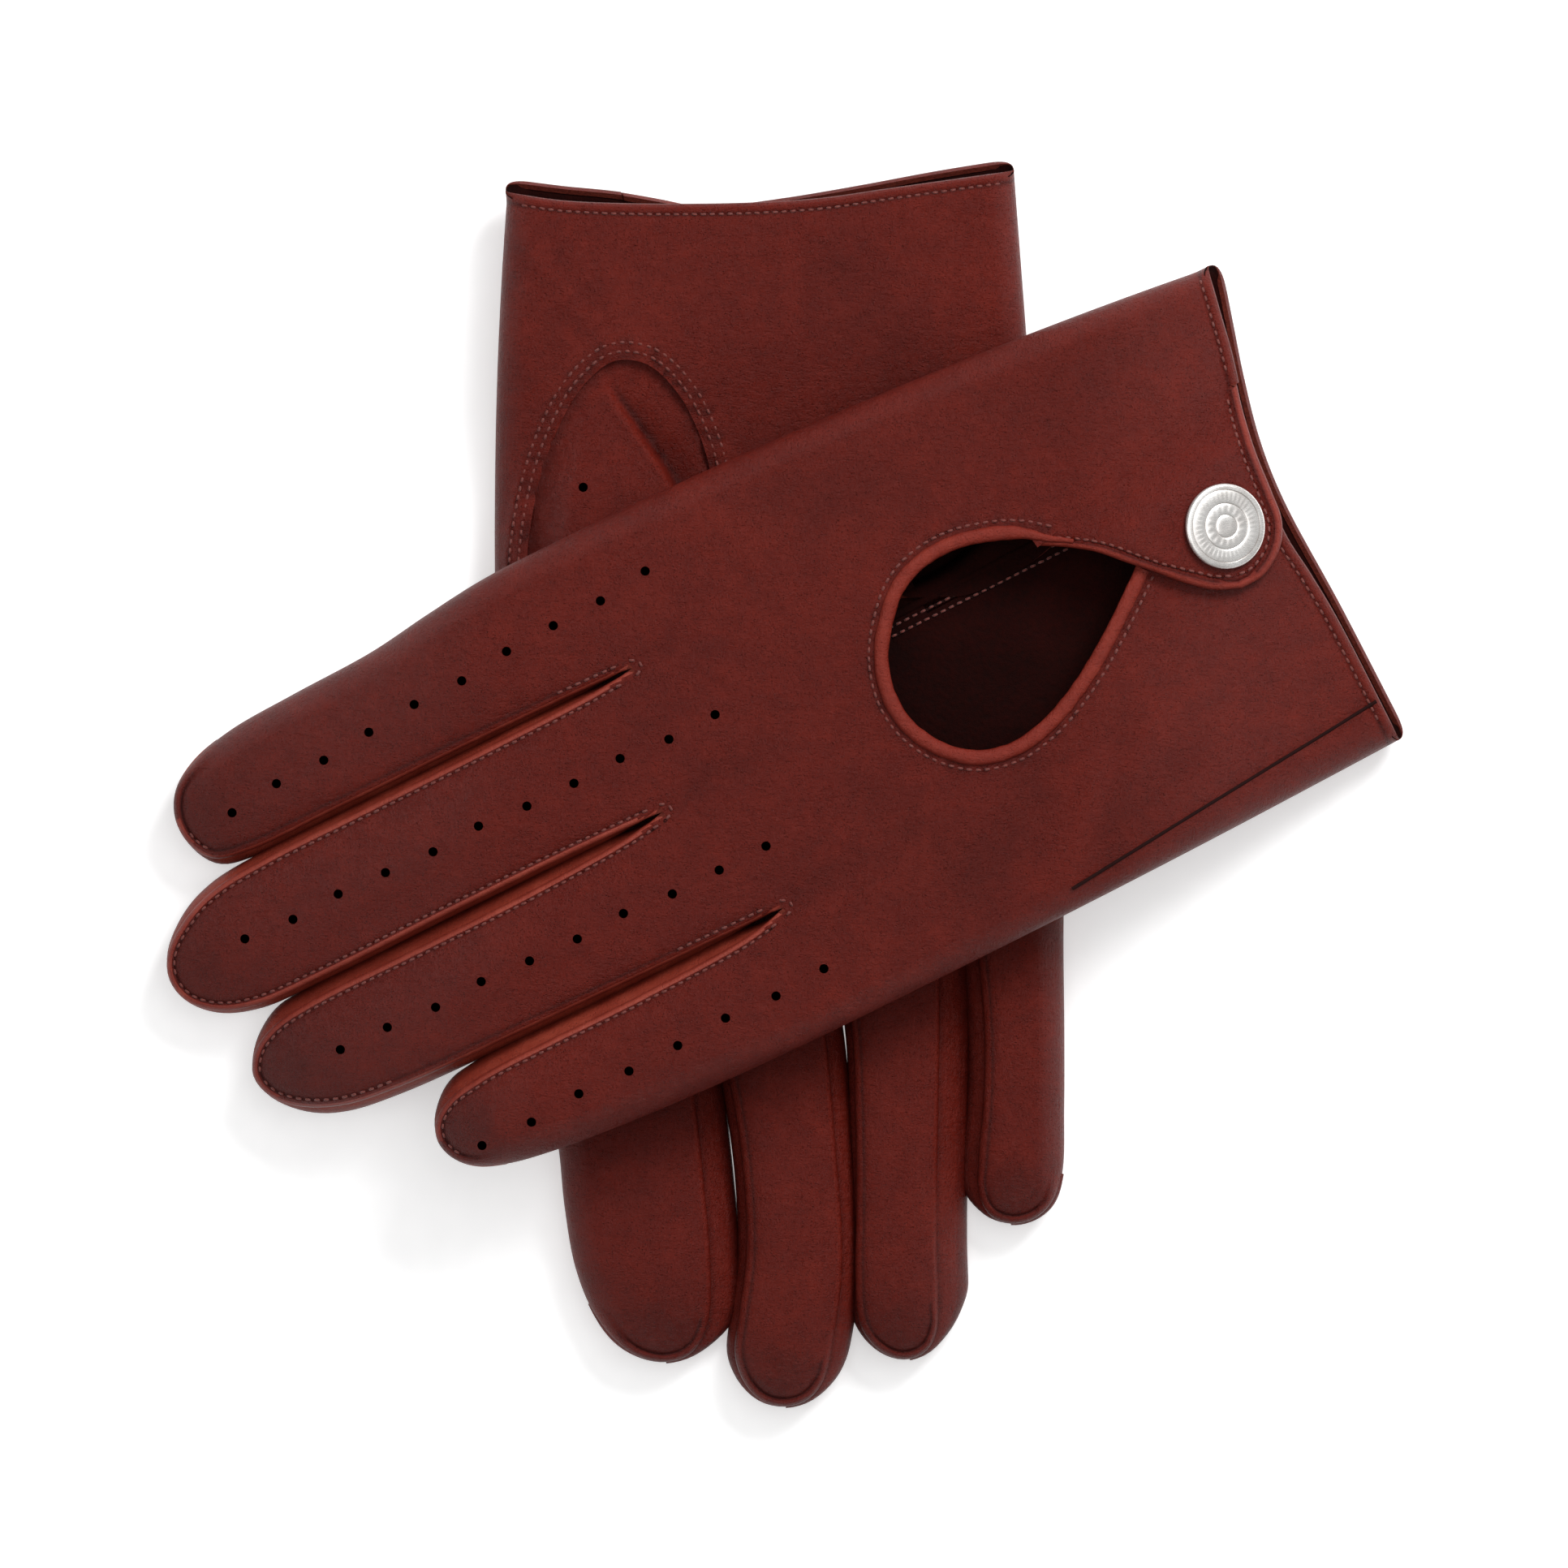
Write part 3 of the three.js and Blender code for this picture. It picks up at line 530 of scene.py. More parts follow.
# Each finger's visible face, from its index side's base to the tip, and back to the other base.
FINGERS = {
    "left": {
        "index": (
            [(121, -52.2), (138, -51.9), (150, -50.6), (162, -49), (178, -48.4), (191, -47.6), (199, -45.6),
            (204.6, -42), (206.8, -37.4)],
            [(206.8, -37.4), (206.4, -32.2), (203.6, -28.2), (197, -26.7), (180, -26.5), (150, -26.4),
            (132, -26.2), (121.2, -25.9)],
        ),
        "middle": (
            [(121.2, -25.9), (129, -25.1), (150, -24.6), (175, -24.4), (195, -24.2), (206, -23.2),
            (213.5, -20.4), (218.6, -16.4), (220.3, -12.2)],
            [(220.3, -12.2), (219.3, -7.6), (215.2, -3.6), (208, -1.2), (195, -0.7), (170, -0.9),
            (145, -0.9), (127.6, -0.5)],
        ),
        "ring": (
            [(127.6, -0.5), (135, 0.8), (155, 1.9), (180, 2.2), (198, 2.3), (207, 3.4), (212, 6),
            (214.3, 9.8)],
            [(214.3, 9.8), (213.3, 14.2), (209.2, 18.4), (202, 21.6), (192, 23), (165, 23.7),
            (135, 24.1), (115.8, 24.3)],
        ),
        "little": (
            [(115.8, 24.3), (123, 26), (145, 27.1), (165, 27.2), (178, 27.7), (185, 29.2),
            (188.5, 31.8), (189.5, 35)],
            [(189.5, 35), (188.4, 38.6), (185.4, 41.6), (180, 43.8), (171, 45.4), (155, 46.8),
            (137, 47.6), (121, 47.9)],
        ),
    },
    "right": {
        "index": (
            [(121, -54.65), (140, -52.9), (155, -51), (169, -49.3), (180, -49), (191, -47.9),
            (199, -45.4), (204.8, -41.6), (208, -37.2), (209.1, -33)],
            [(209.1, -33), (208.2, -28.9), (205.2, -26), (200, -24.3), (190, -23.6), (178, -23.7),
            (160, -24.3), (145, -25.2), (132, -27), (121.2, -28.35)],
        ),
        "middle": (
            [(121.2, -28.35), (128, -25.4), (140, -21.2), (155, -18.5), (168, -17), (180, -16.6),
            (191, -17.2), (201, -19.2), (209, -20.6), (214.4, -19), (217.6, -16), (218.7, -12.2)],
            [(218.7, -12.2), (217.8, -8.2), (214.4, -5), (207, -2.7), (198, -0.7), (190, 0.2), (172, 0.3),
            (154, 0.1), (140, -1), (127.6, -2.95)],
        ),
        "ring": (
            [(127.6, -2.95), (134, 0.5), (142, 3.6), (152, 4.7), (168, 4.2), (184, 3.1), (196, 2),
            (204.4, 2), (208.8, 4.2), (211.4, 7.6), (211.9, 10.6)],
            [(211.9, 10.6), (210.6, 13.8), (207.2, 15.8), (202, 16.5), (192, 17), (180, 18), (165, 19.4),
            (148, 20.9), (132, 21.6), (115.8, 21.85)],
        ),
        "little": (
            [(115.8, 21.85), (124, 25), (134, 27.6), (145, 28.4), (157, 28.2), (168, 27.1), (177, 25.6),
            (183.4, 25.2), (187.4, 27), (189.1, 30.6)],
            [(189.1, 30.6), (188.6, 34.6), (186, 38.2), (181, 40.4), (169, 41.7), (155, 42.8), (140, 43.8),
            (121, 45.45)],
        ),
    },
}
# The hidden face's edges against the visible face's: on the index side, and on the other side.
OTHER_FACE = {
    "left": {"index": (0, 1.3), "middle": (-1.3, 0.5), "ring": (-2.5, 1.3), "little": (-2.8, 0)},
    "right": {"index": (0, 5.4), "middle": (-1.4, 3.2), "ring": (-0.9, 5.5), "little": (-3.0, 0)},
}
# Each face's cuff edge: v, and u there.
CUFFS = {
    ("left", "back"): [(-52, -3.4), (-45, -2.4), (-37, -1), (-30, 0.2), (-12, 4.2), (3, 5.8), (12, 4.8),
    (21, 4), (52, 3.3)],
    ("left", "palm"): [(-52, -6), (-43, -4.6), (-35, -2.6), (-25, 0), (-13, 2.4), (-2, 3.2),
    (20, 2.2), (52, 1.4)],
    ("right", "palm"): [(-52, -3.2), (-45, -1.8), (-35, 0.4), (-11, 2.8), (9, 3.5), (24, 2.6), (52, 0.8)],
    ("right", "back"): [(-52, -5.4), (-45, -4.4), (-35, -2.4), (-25, -0.6), (-12.5, 2.6), (-5, 3.2), (5, 2.7),
    (12, 2.1), (20, 1.3), (31, 0.1), (43, -0.9), (52, -1.4)],
}
VISIBLE = {"left": "back", "right": "palm"}
HIDDEN = {"left": "palm", "right": "back"}
ORDER = ("index", "middle", "ring", "little")

KEYHOLE_EDGE = spline(
    [(46.8, -14.6), (50, -16.6), (54.2, -18.3), (60, -19.6), (66.2, -19.3), (71.5, -17.2), (75.8, -13),
    (79.3, -7.8), (81, -1.6), (80.5, 4.2), (77.4, 10), (72.4, 14.2), (66, 15.6), (59.7, 14.5),
    (53.5, 11.9), (47.2, 8.2), (41.6, 4.2), (36.7, 0.4), (32.5, -3)]
)
# The strap's edge from its root to its end on the keyhole's side, and back on the cuff's side.
STRAP_FREE_EDGE = [
    (47, -14), (42.6, -11.6), (38, -8.4), (34, -4.4), (30, -0.5), (26, 3.6), (21.8, 7), (17.2, 8.9)
]
STRAP_END = [(17.2, 8.9), (12.6, 8.5), (8, 5.5)]
STRAP_CUFF_EDGE = {
    "left": STRAP_END + [(5.4, 1.1), (4.8, -4.4), (4.3, -12), (3.2, -19), (1.9, -24.75)],
    "right": STRAP_END + [(4.8, 1.1), (3.9, -4.4), (3.1, -11), (1.2, -18), (-0.6, -25.37)],
}
# The seam that the thumb is set in with, round the palm's opening.
ARCH = spline(
    [(79, -47.6), (70, -47.3), (61, -46.3), (50, -43.4), (40.6, -39.2), (33.4, -34), (29.7, -28.2),
    (30.8, -22.6), (36.2, -17.6), (44.8, -14), (55, -12.3), (66, -11.8), (79, -11.6)]
)


def base_edges(side):
    """Where the two edges of each finger start, from the index side: three of them are the forks."""
    shapes = [FINGERS[side][name] for name in ORDER]
    return [shapes[0][0][0]] + [shape[1][-1] for shape in shapes]


def hand_side(side, end, u):
    """v of the hand's edge on the index side (end is -1) or on the little finger's side (1)."""
    edges = base_edges(side)
    knuckle = edges[0][1] if end < 0 else edges[-1][1]
    t = np.clip(np.asarray(u, float) / HAND_LENGTH, 0, 1)
    return mix(HALF_CUFF * end, knuckle, 1 - (1 - t) ** 2)


# ---- Relief of the leather ----------------------------------------------------------------------

# Folds and hollows on each visible face: from, to, depth (a negative one is a ridge), half width.
FOLDS = {
    "left": [
        ((128, -0.5), (108, -3), 0.5, 2.6),
        ((122, -26), (110, -27), 0.35, 2.0),
        ((116, 24), (100, 22), 0.45, 2.4),
        ((62, 22), (88, 40), 0.55, 5.0),
        ((54, 26), (70, 44), -0.5, 4.0),
        ((44, 18), (60, 38), 0.35, 3.0),
        ((36, 30), (64, 41), 0.5, 3.5),
        ((150, -7), (190, -6), 0.45, 3.2),
        ((140, 17), (178, 18), 0.35, 3.0),
        ((4, -40), (40, -34), 0.35, 5.0),
        ((90, -44), (60, -30), 0.4, 7.0),
        ((96, 8), (84, 34), 0.4, 6.0),
        ((1, 37.4), (34, 40.6), 0.3, 1.3),
        ((34, 40.6), (66, 43.8), 0.3, 1.3),
    ],
    "right": [
        ((8, -45), (25, -34), 0.5, 1.2),
        ((10, -41), (22, -35), -0.35, 1.2),
        ((6, -40), (20, -31), 0.35, 1.0),
        ((12, -47), (28, -38), 0.3, 1.4),
        ((12, 10), (46, 26), 0.45, 8.0),
        ((50, 30), (80, 18), 0.5, 8.0),
        ((140, 34), (176, 33), 0.3, 3.0),
        ((150, 12), (192, 10), 0.35, 3.0),
        ((150, -8), (196, -8), 0.3, 3.0),
    ],
}


def folds(side, u, v):
    """How deep the folds are at a place."""
    depth = np.zeros(np.shape(u))
    for (au, av), (bu, bv), deep, width in FOLDS[side]:
        du, dv = bu - au, bv - av
        length = math.hypot(du, dv)
        t = ((u - au) * du + (v - av) * dv) / length
        off = ((u - au) * dv - (v - av) * du) / length
        end = smooth(t, -0.15 * length - 1, 0.2 * length) * (1 - smooth(t, 0.8 * length, 1.15 * length + 1))
        depth += deep * end * np.exp(-((off / width) ** 2))
    return depth


def relief(side, face, u, v):
    """Height of a face over its plain level, away from its edges."""
    if VISIBLE[side] != face:
        return np.full(np.shape(u), -0.05)
    edges = hand_side(side, -1, u), hand_side(side, 1, u)
    x = np.clip(2 * (v - edges[0]) / (edges[1] - edges[0]) - 1, -1, 1)
    crown = (1.1 if side == "left" else 0.6) * (1 - x**4)
    seed = 3 if side == "left" else 8
    waves = 0.42 * noise(u, v, 30, seed) + 0.16 * noise(u, v, 13, seed + 1) + 0.05 * noise(u, v, 5, seed + 2)
    return crown + waves - folds(side, u, v)


ARCH_ROWS = (1.5, 3.1)  # two rows of stitches round the thumb's seam


def arch_relief(u, v):
    """The thumb's seam on the palm: a raised band, a groove under each row of stitches, and its tone, which is
    painted shade in the grooves and along the seam.
    """
    off = distance_to(u, v, ARCH)
    band = 0.45 * (1 - smooth(off, 3.7, 4.7))
    groove = 0.28 * sum(np.exp(-(((off - row) / 0.35) ** 2)) for row in ARCH_ROWS)
    seam = 0.7 * np.exp(-((off / 0.5) ** 2))
    return band - groove - seam, -2.2 * groove - 1.2 * seam


# Edge profiles, from the edge inwards: how far in, and how far below the face.
FOLD = np.array(
    [(0, 4.75), (0.12, 3.7), (0.42, 2.8), (0.85, 2.05), (1.4, 1.45), (2, 0.98), (2.65, 0.6), (3.35, 0.3),
     (4.05, 0.1), (4.75, 0)]
)
BEAD = np.array(
    [(0.45, 2.0), (0.1, 1.4), (0, 0.85), (0.15, 0.4), (0.5, 0.08), (0.95, 0.03), (1.45, 0.42), (1.95, 0.1),
     (2.9, 0.0), (4.75, 0)]
)
ROLL = np.array(
    [(0.9, 3.4), (0.25, 2.7), (0, 1.95), (0.18, 1.25), (0.6, 0.75), (1.1, 0.46), (1.5, 0.5), (2.1, 0.22),
     (3.2, 0.06), (4.75, 0)]
)
INSEAM = np.array(
    [(0.1, 1.5), (0, 1.05), (0.08, 0.62), (0.3, 0.28), (0.65, 0.08), (1.05, 0), (1.45, 0), (1.95, 0),
     (2.9, 0), (4.75, 0)]
)
FOLD_WIDTH = FOLD[-1, 0]
STATIONS = 84  # along each half of a finger's outline
INSIDE = 7  # points from the edge profile to the middle of a finger


def edge_style(side, face, finger, half):
    """The profile of one side of a finger's face, and whether that side is a plain fold."""
    if (finger, half) in (("index", 0), ("little", 1)):
        return FOLD, True
    if face != VISIBLE[side]:
        return BEAD, False
    if side == "left":
        return {("index", 1): ROLL, ("ring", 1): ROLL}.get((finger, half), BEAD), False
    return (INSEAM if half else ROLL), False


def half_outlines(side, finger, face):
    """A finger's two halves, each from its base to the tip, at even steps."""
    first, second = FINGERS[side][finger]
    whole = spline(first + second[1:])
    tip = int(np.argmin(np.hypot(*(whole - np.array(first[-1])).T)))
    halves = [even(whole[: tip + 1], STATIONS + 1), even(whole[tip:][::-1], STATIONS + 1)]
    if face != VISIBLE[side]:
        for half, shift in zip(halves, OTHER_FACE[side][finger]):
            t = np.linspace(0, 1, STATIONS + 1)
            half[:, 1] += shift * smooth(t, 0, 0.2) * (1 - smooth(t, 0.84, 1))
    return halves


# One half of a panel: its points by station and by inset from the edge, how far each lies below the face,
# its share of the way to the middle, each station's share of the outline, and how far the leather folds.
Half = namedtuple("Half", "places drop share t turned_down inset")


class Panel:
    """One face of a finger or of a strap: stations round its outline, each running in to its middle."""

    def __init__(self, outlines, profiles, plain, round_end, height, base_fade):
        left, right = outlines
        self.start = (left[0] + right[0]) / 2
        to_tip = left[-1] - self.start
        self.reach = np.linalg.norm(to_tip)
        self.axis = to_tip / self.reach
        self.height = height
        self.middle = (left + right) / 2
        gone = (self.middle - self.start) @ self.axis
        last = int(np.argmax(gone > self.reach - round_end))
        self.middle[last:] = self.middle[last]
        self.halves = [self.make_half(*each, base_fade) for each in zip(outlines, profiles, plain)]

    def make_half(self, edge, profile, is_plain, base_fade):
        run = along(edge)
        t = run / run[-1]
        inward = self.middle - edge
        full = np.linalg.norm(inward, axis=1, keepdims=True)
        inward = inward / full
        if is_plain:
            # A plain fold turns into a stitched edge near the tip.
            sewn = smooth(t, 0.8, 0.95)[:, None]
            inset = mix(FOLD[:, 0], BEAD[:, 0], sewn)
            drop = BEAD[:, 1] * sewn
            turned_down = FOLD[:, 1] / MIDDLE * (1 - sewn)
        else:
            ends = mix(profile, BEAD, smooth(t, 0.86, 0.96)[:, None, None])
            begun = smooth(run, 0, base_fade)[:, None]
            inset = mix(FOLD[:, 0], ends[:, :, 0], begun)
            drop = ends[:, :, 1] * begun
            turned_down = np.zeros_like(drop)
        inner = FOLD_WIDTH + (full - FOLD_WIDTH) * np.linspace(0, 1, INSIDE + 1)[1:]
        inset = np.hstack([inset, inner])
        drop, turned_down = (np.hstack([each, np.zeros_like(inner)]) for each in (drop, turned_down))
        places = edge[:, None, :] + inward[:, None, :] * inset[:, :, None]
        return Half(places, drop, np.clip(inset / full, 0, 1), t, turned_down, inset)

    def surface(self, k):
        """u, v and height of one half's points, each station's share of the outline, and the insets."""
        half = self.halves[k]
        u, v = half.places[..., 0], half.places[..., 1]
        h = self.height(self, u, v, half.share)
        return u, v, h - half.drop - half.turned_down * (MIDDLE + h), half.t, half.inset

    def line(self, k, inset, start, end):
        """Points on the face at one inset from the edge, for stitches."""
        u, v, h, t, gone = self.surface(k)
        out = []
        for i in np.flatnonzero((t >= start) & (t <= end)):
            # The first two points of a profile can lie under its rim.
            out.append([np.interp(inset, gone[i, 2:], column[i, 2:]) for column in (u, v, h)])
        return np.array(out)


def level(face, h):
    """w of a face, from its height over the plain level."""
    return HEIGHT + h if face == "back" else -h


def outward(face):
    """The way out of a face that lies nearly flat."""
    return np.array([0.0, 0.0, 1.0 if face == "back" else -1.0])


def with_normals(line, face):
    """A line on a face, with its normals."""
    return line, np.tile(outward(face), (len(line), 1))


def finger_height(side, face, finger):
    """The height of a finger's face: the hand's relief at its base, and then a shape of its own."""
    shown = VISIBLE[side] == face
    dome = 1.5 if shown else (0.0 if side == "right" else 1.0)
    seed = 20 + ORDER.index(finger) + (10 if side == "right" else 0)

    def height(panel, u, v, share):
        gone = (u - panel.start[0]) * panel.axis[0] + (v - panel.start[1]) * panel.axis[1]
        begun = smooth(gone, 0, 26)
        left = panel.reach - gone
        tip = np.clip(1 - left / 20, 0, 1) ** 2
        waves = 0.22 * noise(u, v, 11, seed) + 0.1 * noise(u, v, 5.5, seed + 50)
        own = dome * (1 - (1 - share) ** 2.2) - 2.4 * tip
        if shown:
            own = own + (waves - folds(side, u, v)) * smooth(share, 0, 0.3)
        else:
            own = own - 0.12 * smooth(gone, 10, 90)
        return mix(relief(side, face, u, v), own, begun)

    return height


def finger_panel(side, finger, face):
    """One face of a finger, with a tip that is round over 11.5 mm and edges that begin over 5 mm."""
    profiles, plain = zip(*(edge_style(side, face, finger, half) for half in (0, 1)))
    height = finger_height(side, face, finger)
    return Panel(half_outlines(side, finger, face), profiles, plain, 11.5, height, 5.0)


# ---- Pieces of a finger -------------------------------------------------------------------------


def panel_mesh(name, side, face, panel, materials, bounds=(0, 0), tip_tone=0.38):
    """A face as a slab. Its halves' edges are in the fourth material, a lighter leather for a painted
    highlight, as far in as their bounds.
    """
    points, quads, tones, beyond = [], [], [], []
    for k, half in enumerate(panel.halves):
        u, v, h, t, inset = panel.surface(k)
        stitched = half.drop > 0.02
        # Tone: a painted highlight on the bead, and painted shade in the stitches' groove and where the edge
        # drops below the face. The face is also darker towards the tip, partly as painted shade and partly as
        # burnish.
        painted_highlight_on_bead = 0.5 * np.exp(-(((inset - 0.7) / 0.45) ** 2)) * stitched
        groove = 0.75 * np.exp(-(((inset - 1.45) / 0.3) ** 2)) * stitched
        low = smooth(half.drop, 0.8, 2.4)
        tip = smooth(t, 0.72, 1.0)[:, None]
        quads += [quad[:: 1 - 2 * k] for quad in grid_quads(*u.shape, u.size * k)]
        points.append(np.column_stack([u.ravel(), v.ravel(), level(face, h).ravel()]))
        tones.append((painted_highlight_on_bead - groove - 0.8 * low - tip_tone * tip).ravel())
        beyond.append((inset - bounds[k]).ravel())
    beyond = np.concatenate(beyond)
    slots = [3 if max(beyond[k] for k in quad) < 0 else 0 for quad in quads]
    points, tones = np.vstack(points), np.concatenate(tones)
    return slab(name, side, points, quads, tones, outward(face), materials, slots=slots)


def band_mesh(name, side, finger, shown, hidden, half, bulge):
    """The strip between a finger's two faces, from the fork to the tip."""
    across = 9
    u0, v0, h0, t, _ = shown.surface(half)
    u1, v1, h1, _, _ = hidden.surface(half)
    w0, w1 = level(VISIBLE[side], h0), level(HIDDEN[side], h1)
    out = np.column_stack([shown.halves[half].places[:, 0] - shown.middle, np.zeros(len(t))])
    begins = 1 if half == 1 and side == "right" else 0
    folded = edge_style(side, VISIBLE[side], finger, half)[1]
    # Painted shade in the two seams, and a painted highlight towards the visible face.
    shades = [-0.55] + [0.18] * 3 + [-0.25] * (across - 5) + [-0.55]
    rows, tones = [], []
    for i in range(len(t)):
        if folded and t[i] < 0.8:
            continue
        a = np.array([u0[i, begins], v0[i, begins], w0[i, begins] + 0.15 * outward(VISIBLE[side])[2]])
        b = np.array([u1[i, 1], v1[i, 1], w1[i, 1]])
        beside = out[i] / max(np.linalg.norm(out[i]), 1e-6)
        amount = bulge * min(1.0, abs(a[2] - b[2]) / 6) * float(smooth(t[i], 0.0, 0.12))
        for s in np.linspace(0, 1, across):
            crease = 0.25 * amount * math.exp(-((s / 0.16) ** 2))
            rows.append(mix(a, b, s) + beside * (amount * math.sin(math.pi * s) ** 0.8 - crease))
        # Darker towards the tip: painted shade.
        tones += [shade - 0.3 * float(smooth(t[i], 0.75, 1)) for shade in shades]
    # The left glove's strips take the lighter copy of the leather, which is painted light. The right glove's
    # strips take the plain leather.
    materials = (LIGHTENED_SIDE if side == "left" else OXBLOOD, SUEDE, EDGE)
    quads = grid_quads(len(rows) // across, across)
    points, tones = np.array(rows), np.array(tones)
    return slab(name, side, points, quads, tones, out[STATIONS // 2], materials, STRIP_LEATHER)


# ---- Stitches -----------------------------------------------------------------------------------

# One stitch lies along x: rings of its thread from hole to hole, as place, height and width.
STITCH_RINGS = [
    (-0.5, -0.26, 0.1), (-0.42, 0.02, 0.72), (-0.2, 0.16, 1.0),
    (0.2, 0.16, 1.0), (0.42, 0.02, 0.72), (0.5, -0.26, 0.1)
]
STITCH_PITCH = 1.6
STITCH_LENGTH = 1.15
STITCH_WIDTH = 0.22
STITCH_SIDES = 6
NEEDLE_RADIUS = 0.33


def stitch_places(points, normals):
    """Where the stitches along a line are, which way they run, and the leather's normals there."""
    run = along(points)
    count = max(2, int(run[-1] / STITCH_PITCH))
    at = (np.arange(count) + 0.5) * run[-1] / count

    def read(columns, where):
        return np.column_stack([np.interp(where, run, column) for column in columns.T])

    direction = read(points, at + 0.3) - read(points, at - 0.3)
    direction /= np.maximum(np.linalg.norm(direction, axis=1, keepdims=True), 1e-9)
    return zip(read(points, at), direction, read(normals, at))


def stitches(name, side, lines):
    """Thread along lines on the leather, each with its needle holes. A line is points and normals."""
    points, faces, slots = [], [], []
    wobble = np.random.default_rng(5)
    around = np.linspace(0, 2 * math.pi, STITCH_SIDES, endpoint=False)
    sides = np.arange(STITCH_SIDES)
    for line, normals in lines:
        for p, x, n in stitch_places(line, normals):
            n = n - x * np.dot(n, x)
            n = n / np.linalg.norm(n)
            y = np.cross(n, x)
            tilt = wobble.normal(0, 0.05)
            x, y = x + y * tilt, y - x * tilt
            long = STITCH_LENGTH * wobble.uniform(0.92, 1.06)
            lift = wobble.uniform(-0.03, 0.05)
            first = len(points)
            for at, high, wide in STITCH_RINGS:
                for angle in around:
                    off = y * math.cos(angle) * STITCH_WIDTH * wide
                    off = off + n * math.sin(angle) * STITCH_WIDTH * 0.8 * wide
                    points.append(p + x * at * long + n * (high + lift) + off)
            thread_faces = grid_quads(len(STITCH_RINGS), STITCH_SIDES, first, closed=True)
            thread_faces += [tuple(first + sides[::-1]), tuple(len(points) - STITCH_SIDES + sides)]
            # Each needle hole is a shallow cone in near-black, as painted shade.
            hole = p + x * STITCH_PITCH / 2
            first = len(points)
            for angle in around:
                off = (y * math.cos(angle) + x * math.sin(angle)) * NEEDLE_RADIUS
                points.append(hole + off + n * 0.04)
            points.append(hole - n * 0.25)
            hole_faces = [(first + k, first + (k + 1) % STITCH_SIDES, first + STITCH_SIDES) for k in sides]
            faces += thread_faces + hole_faces
            slots += [0] * len(thread_faces) + [1] * len(hole_faces)
    return build(name, side, np.array(points), faces, (THREAD, HOLE_SHADE), slots, sharp=80)


def panel_line(panel, face, half, inset, start, end):
    line = panel.line(half, inset, start, end)
    line[:, 2] = level(face, line[:, 2])
    return with_normals(line, face)


# ---- Cutting ------------------------------------------------------------------------------------


def prism(outline, low, high):
    """A closed solid with an outline in u and v, between two levels of w."""
    outline = np.asarray(outline, float)
    ahead = np.roll(outline, -1, axis=0)
    if np.sum(outline[:, 0] * ahead[:, 1] - ahead[:, 0] * outline[:, 1]) < 0:
        outline = outline[::-1]
    n = len(outline)
    points = np.vstack([np.column_stack([outline, np.full(n, w)]) for w in (low, high)])
    walls = [(i, (i + 1) % n, n + (i + 1) % n, n + i) for i in range(n)]
    return points, walls + [tuple(range(n - 1, -1, -1)), tuple(range(n, 2 * n))]


def cut(piece, side, prisms):
    """Takes the prisms out of a piece; the new walls show the cut leather."""
    points, faces = [], []
    for prism_points, prism_faces in prisms:
        faces += [tuple(k + len(points) for k in face) for face in prism_faces]
        points += list(prism_points)
    mesh = bpy.data.meshes.new("cutter")
    mesh.from_pydata(world(side, points).tolist(), [], faces)
    for _ in range(3):
        mesh.materials.append(EDGE)
    mesh.polygons.foreach_set("material_index", np.full(len(faces), 2, np.int32))
    cutter = add_object("cutter", mesh)
    if side == "right":
        mesh.flip_normals()
    modifier = piece.modifiers.new("cut", "BOOLEAN")
    modifier.operation = "DIFFERENCE"
    modifier.solver = "MANIFOLD"
    modifier.object = cutter
    bpy.context.view_layer.update()
    result = bpy.data.meshes.new_from_object(piece.evaluated_get(bpy.context.evaluated_depsgraph_get()))
    piece.modifiers.clear()
    piece.data = result
    result.set_sharp_from_angle(angle=math.radians(50))
    bpy.data.objects.remove(cutter)


def vent_hole(u, v, low, high):
    angles = np.linspace(0, 2 * math.pi, 16, endpoint=False)
    outline = np.column_stack([u + HOLE_RADIUS * np.cos(angles), v + HOLE_RADIUS * np.sin(angles)])
    return prism(outline, low, high)


# Perforations of each visible back: from, to and how many.
HOLES = {
    "index": ((111.6, -40.1), (197, -34.3), 10),
    "middle": ((111.6, -11.9), (204.8, -12.6), 11),
    "ring": ((113.7, 13.3), (198, 12.6), 10),
    "little": ((114, 37.3), (182.6, 38.9), 8),
}
HOLE_RADIUS = 0.85
BEAD_BOUND = 0.97  # the beaded edge's lighter leather, a painted highlight, reaches in this far
FINGER_ROW = 1.45  # a finger's stitches, from its edge: the groove of BEAD


def perforations(finger):
    """The holes of one finger, from the hand to its tip."""
    (au, av), (bu, bv), count = HOLES[finger]
    out = []
    for n in range(count):
        t = n / (count - 1)
        u, v = mix(au, bu, t), mix(av, bv, t)
        v += 0.35 * math.sin(2.3 * n + len(finger))  # punched by hand
        out.append(vent_hole(u, v, HEIGHT - 4, HEIGHT + 4))
    return out


# Which stretches of each finger's outline show their stitches, as shares from base to tip.
STITCHED = {
    "index": {1: [(0.02, 0.16), (0.9, 0.97)]},
    "middle": {0: [(0.02, 1.0)], 1: [(0.02, 0.999)]},
    "ring": {0: [(0.02, 1.0)], 1: [(0.02, 0.2), (0.72, 0.999)]},
    "little": {0: [(0.02, 1.0)], 1: [(0.93, 0.999)]},
}


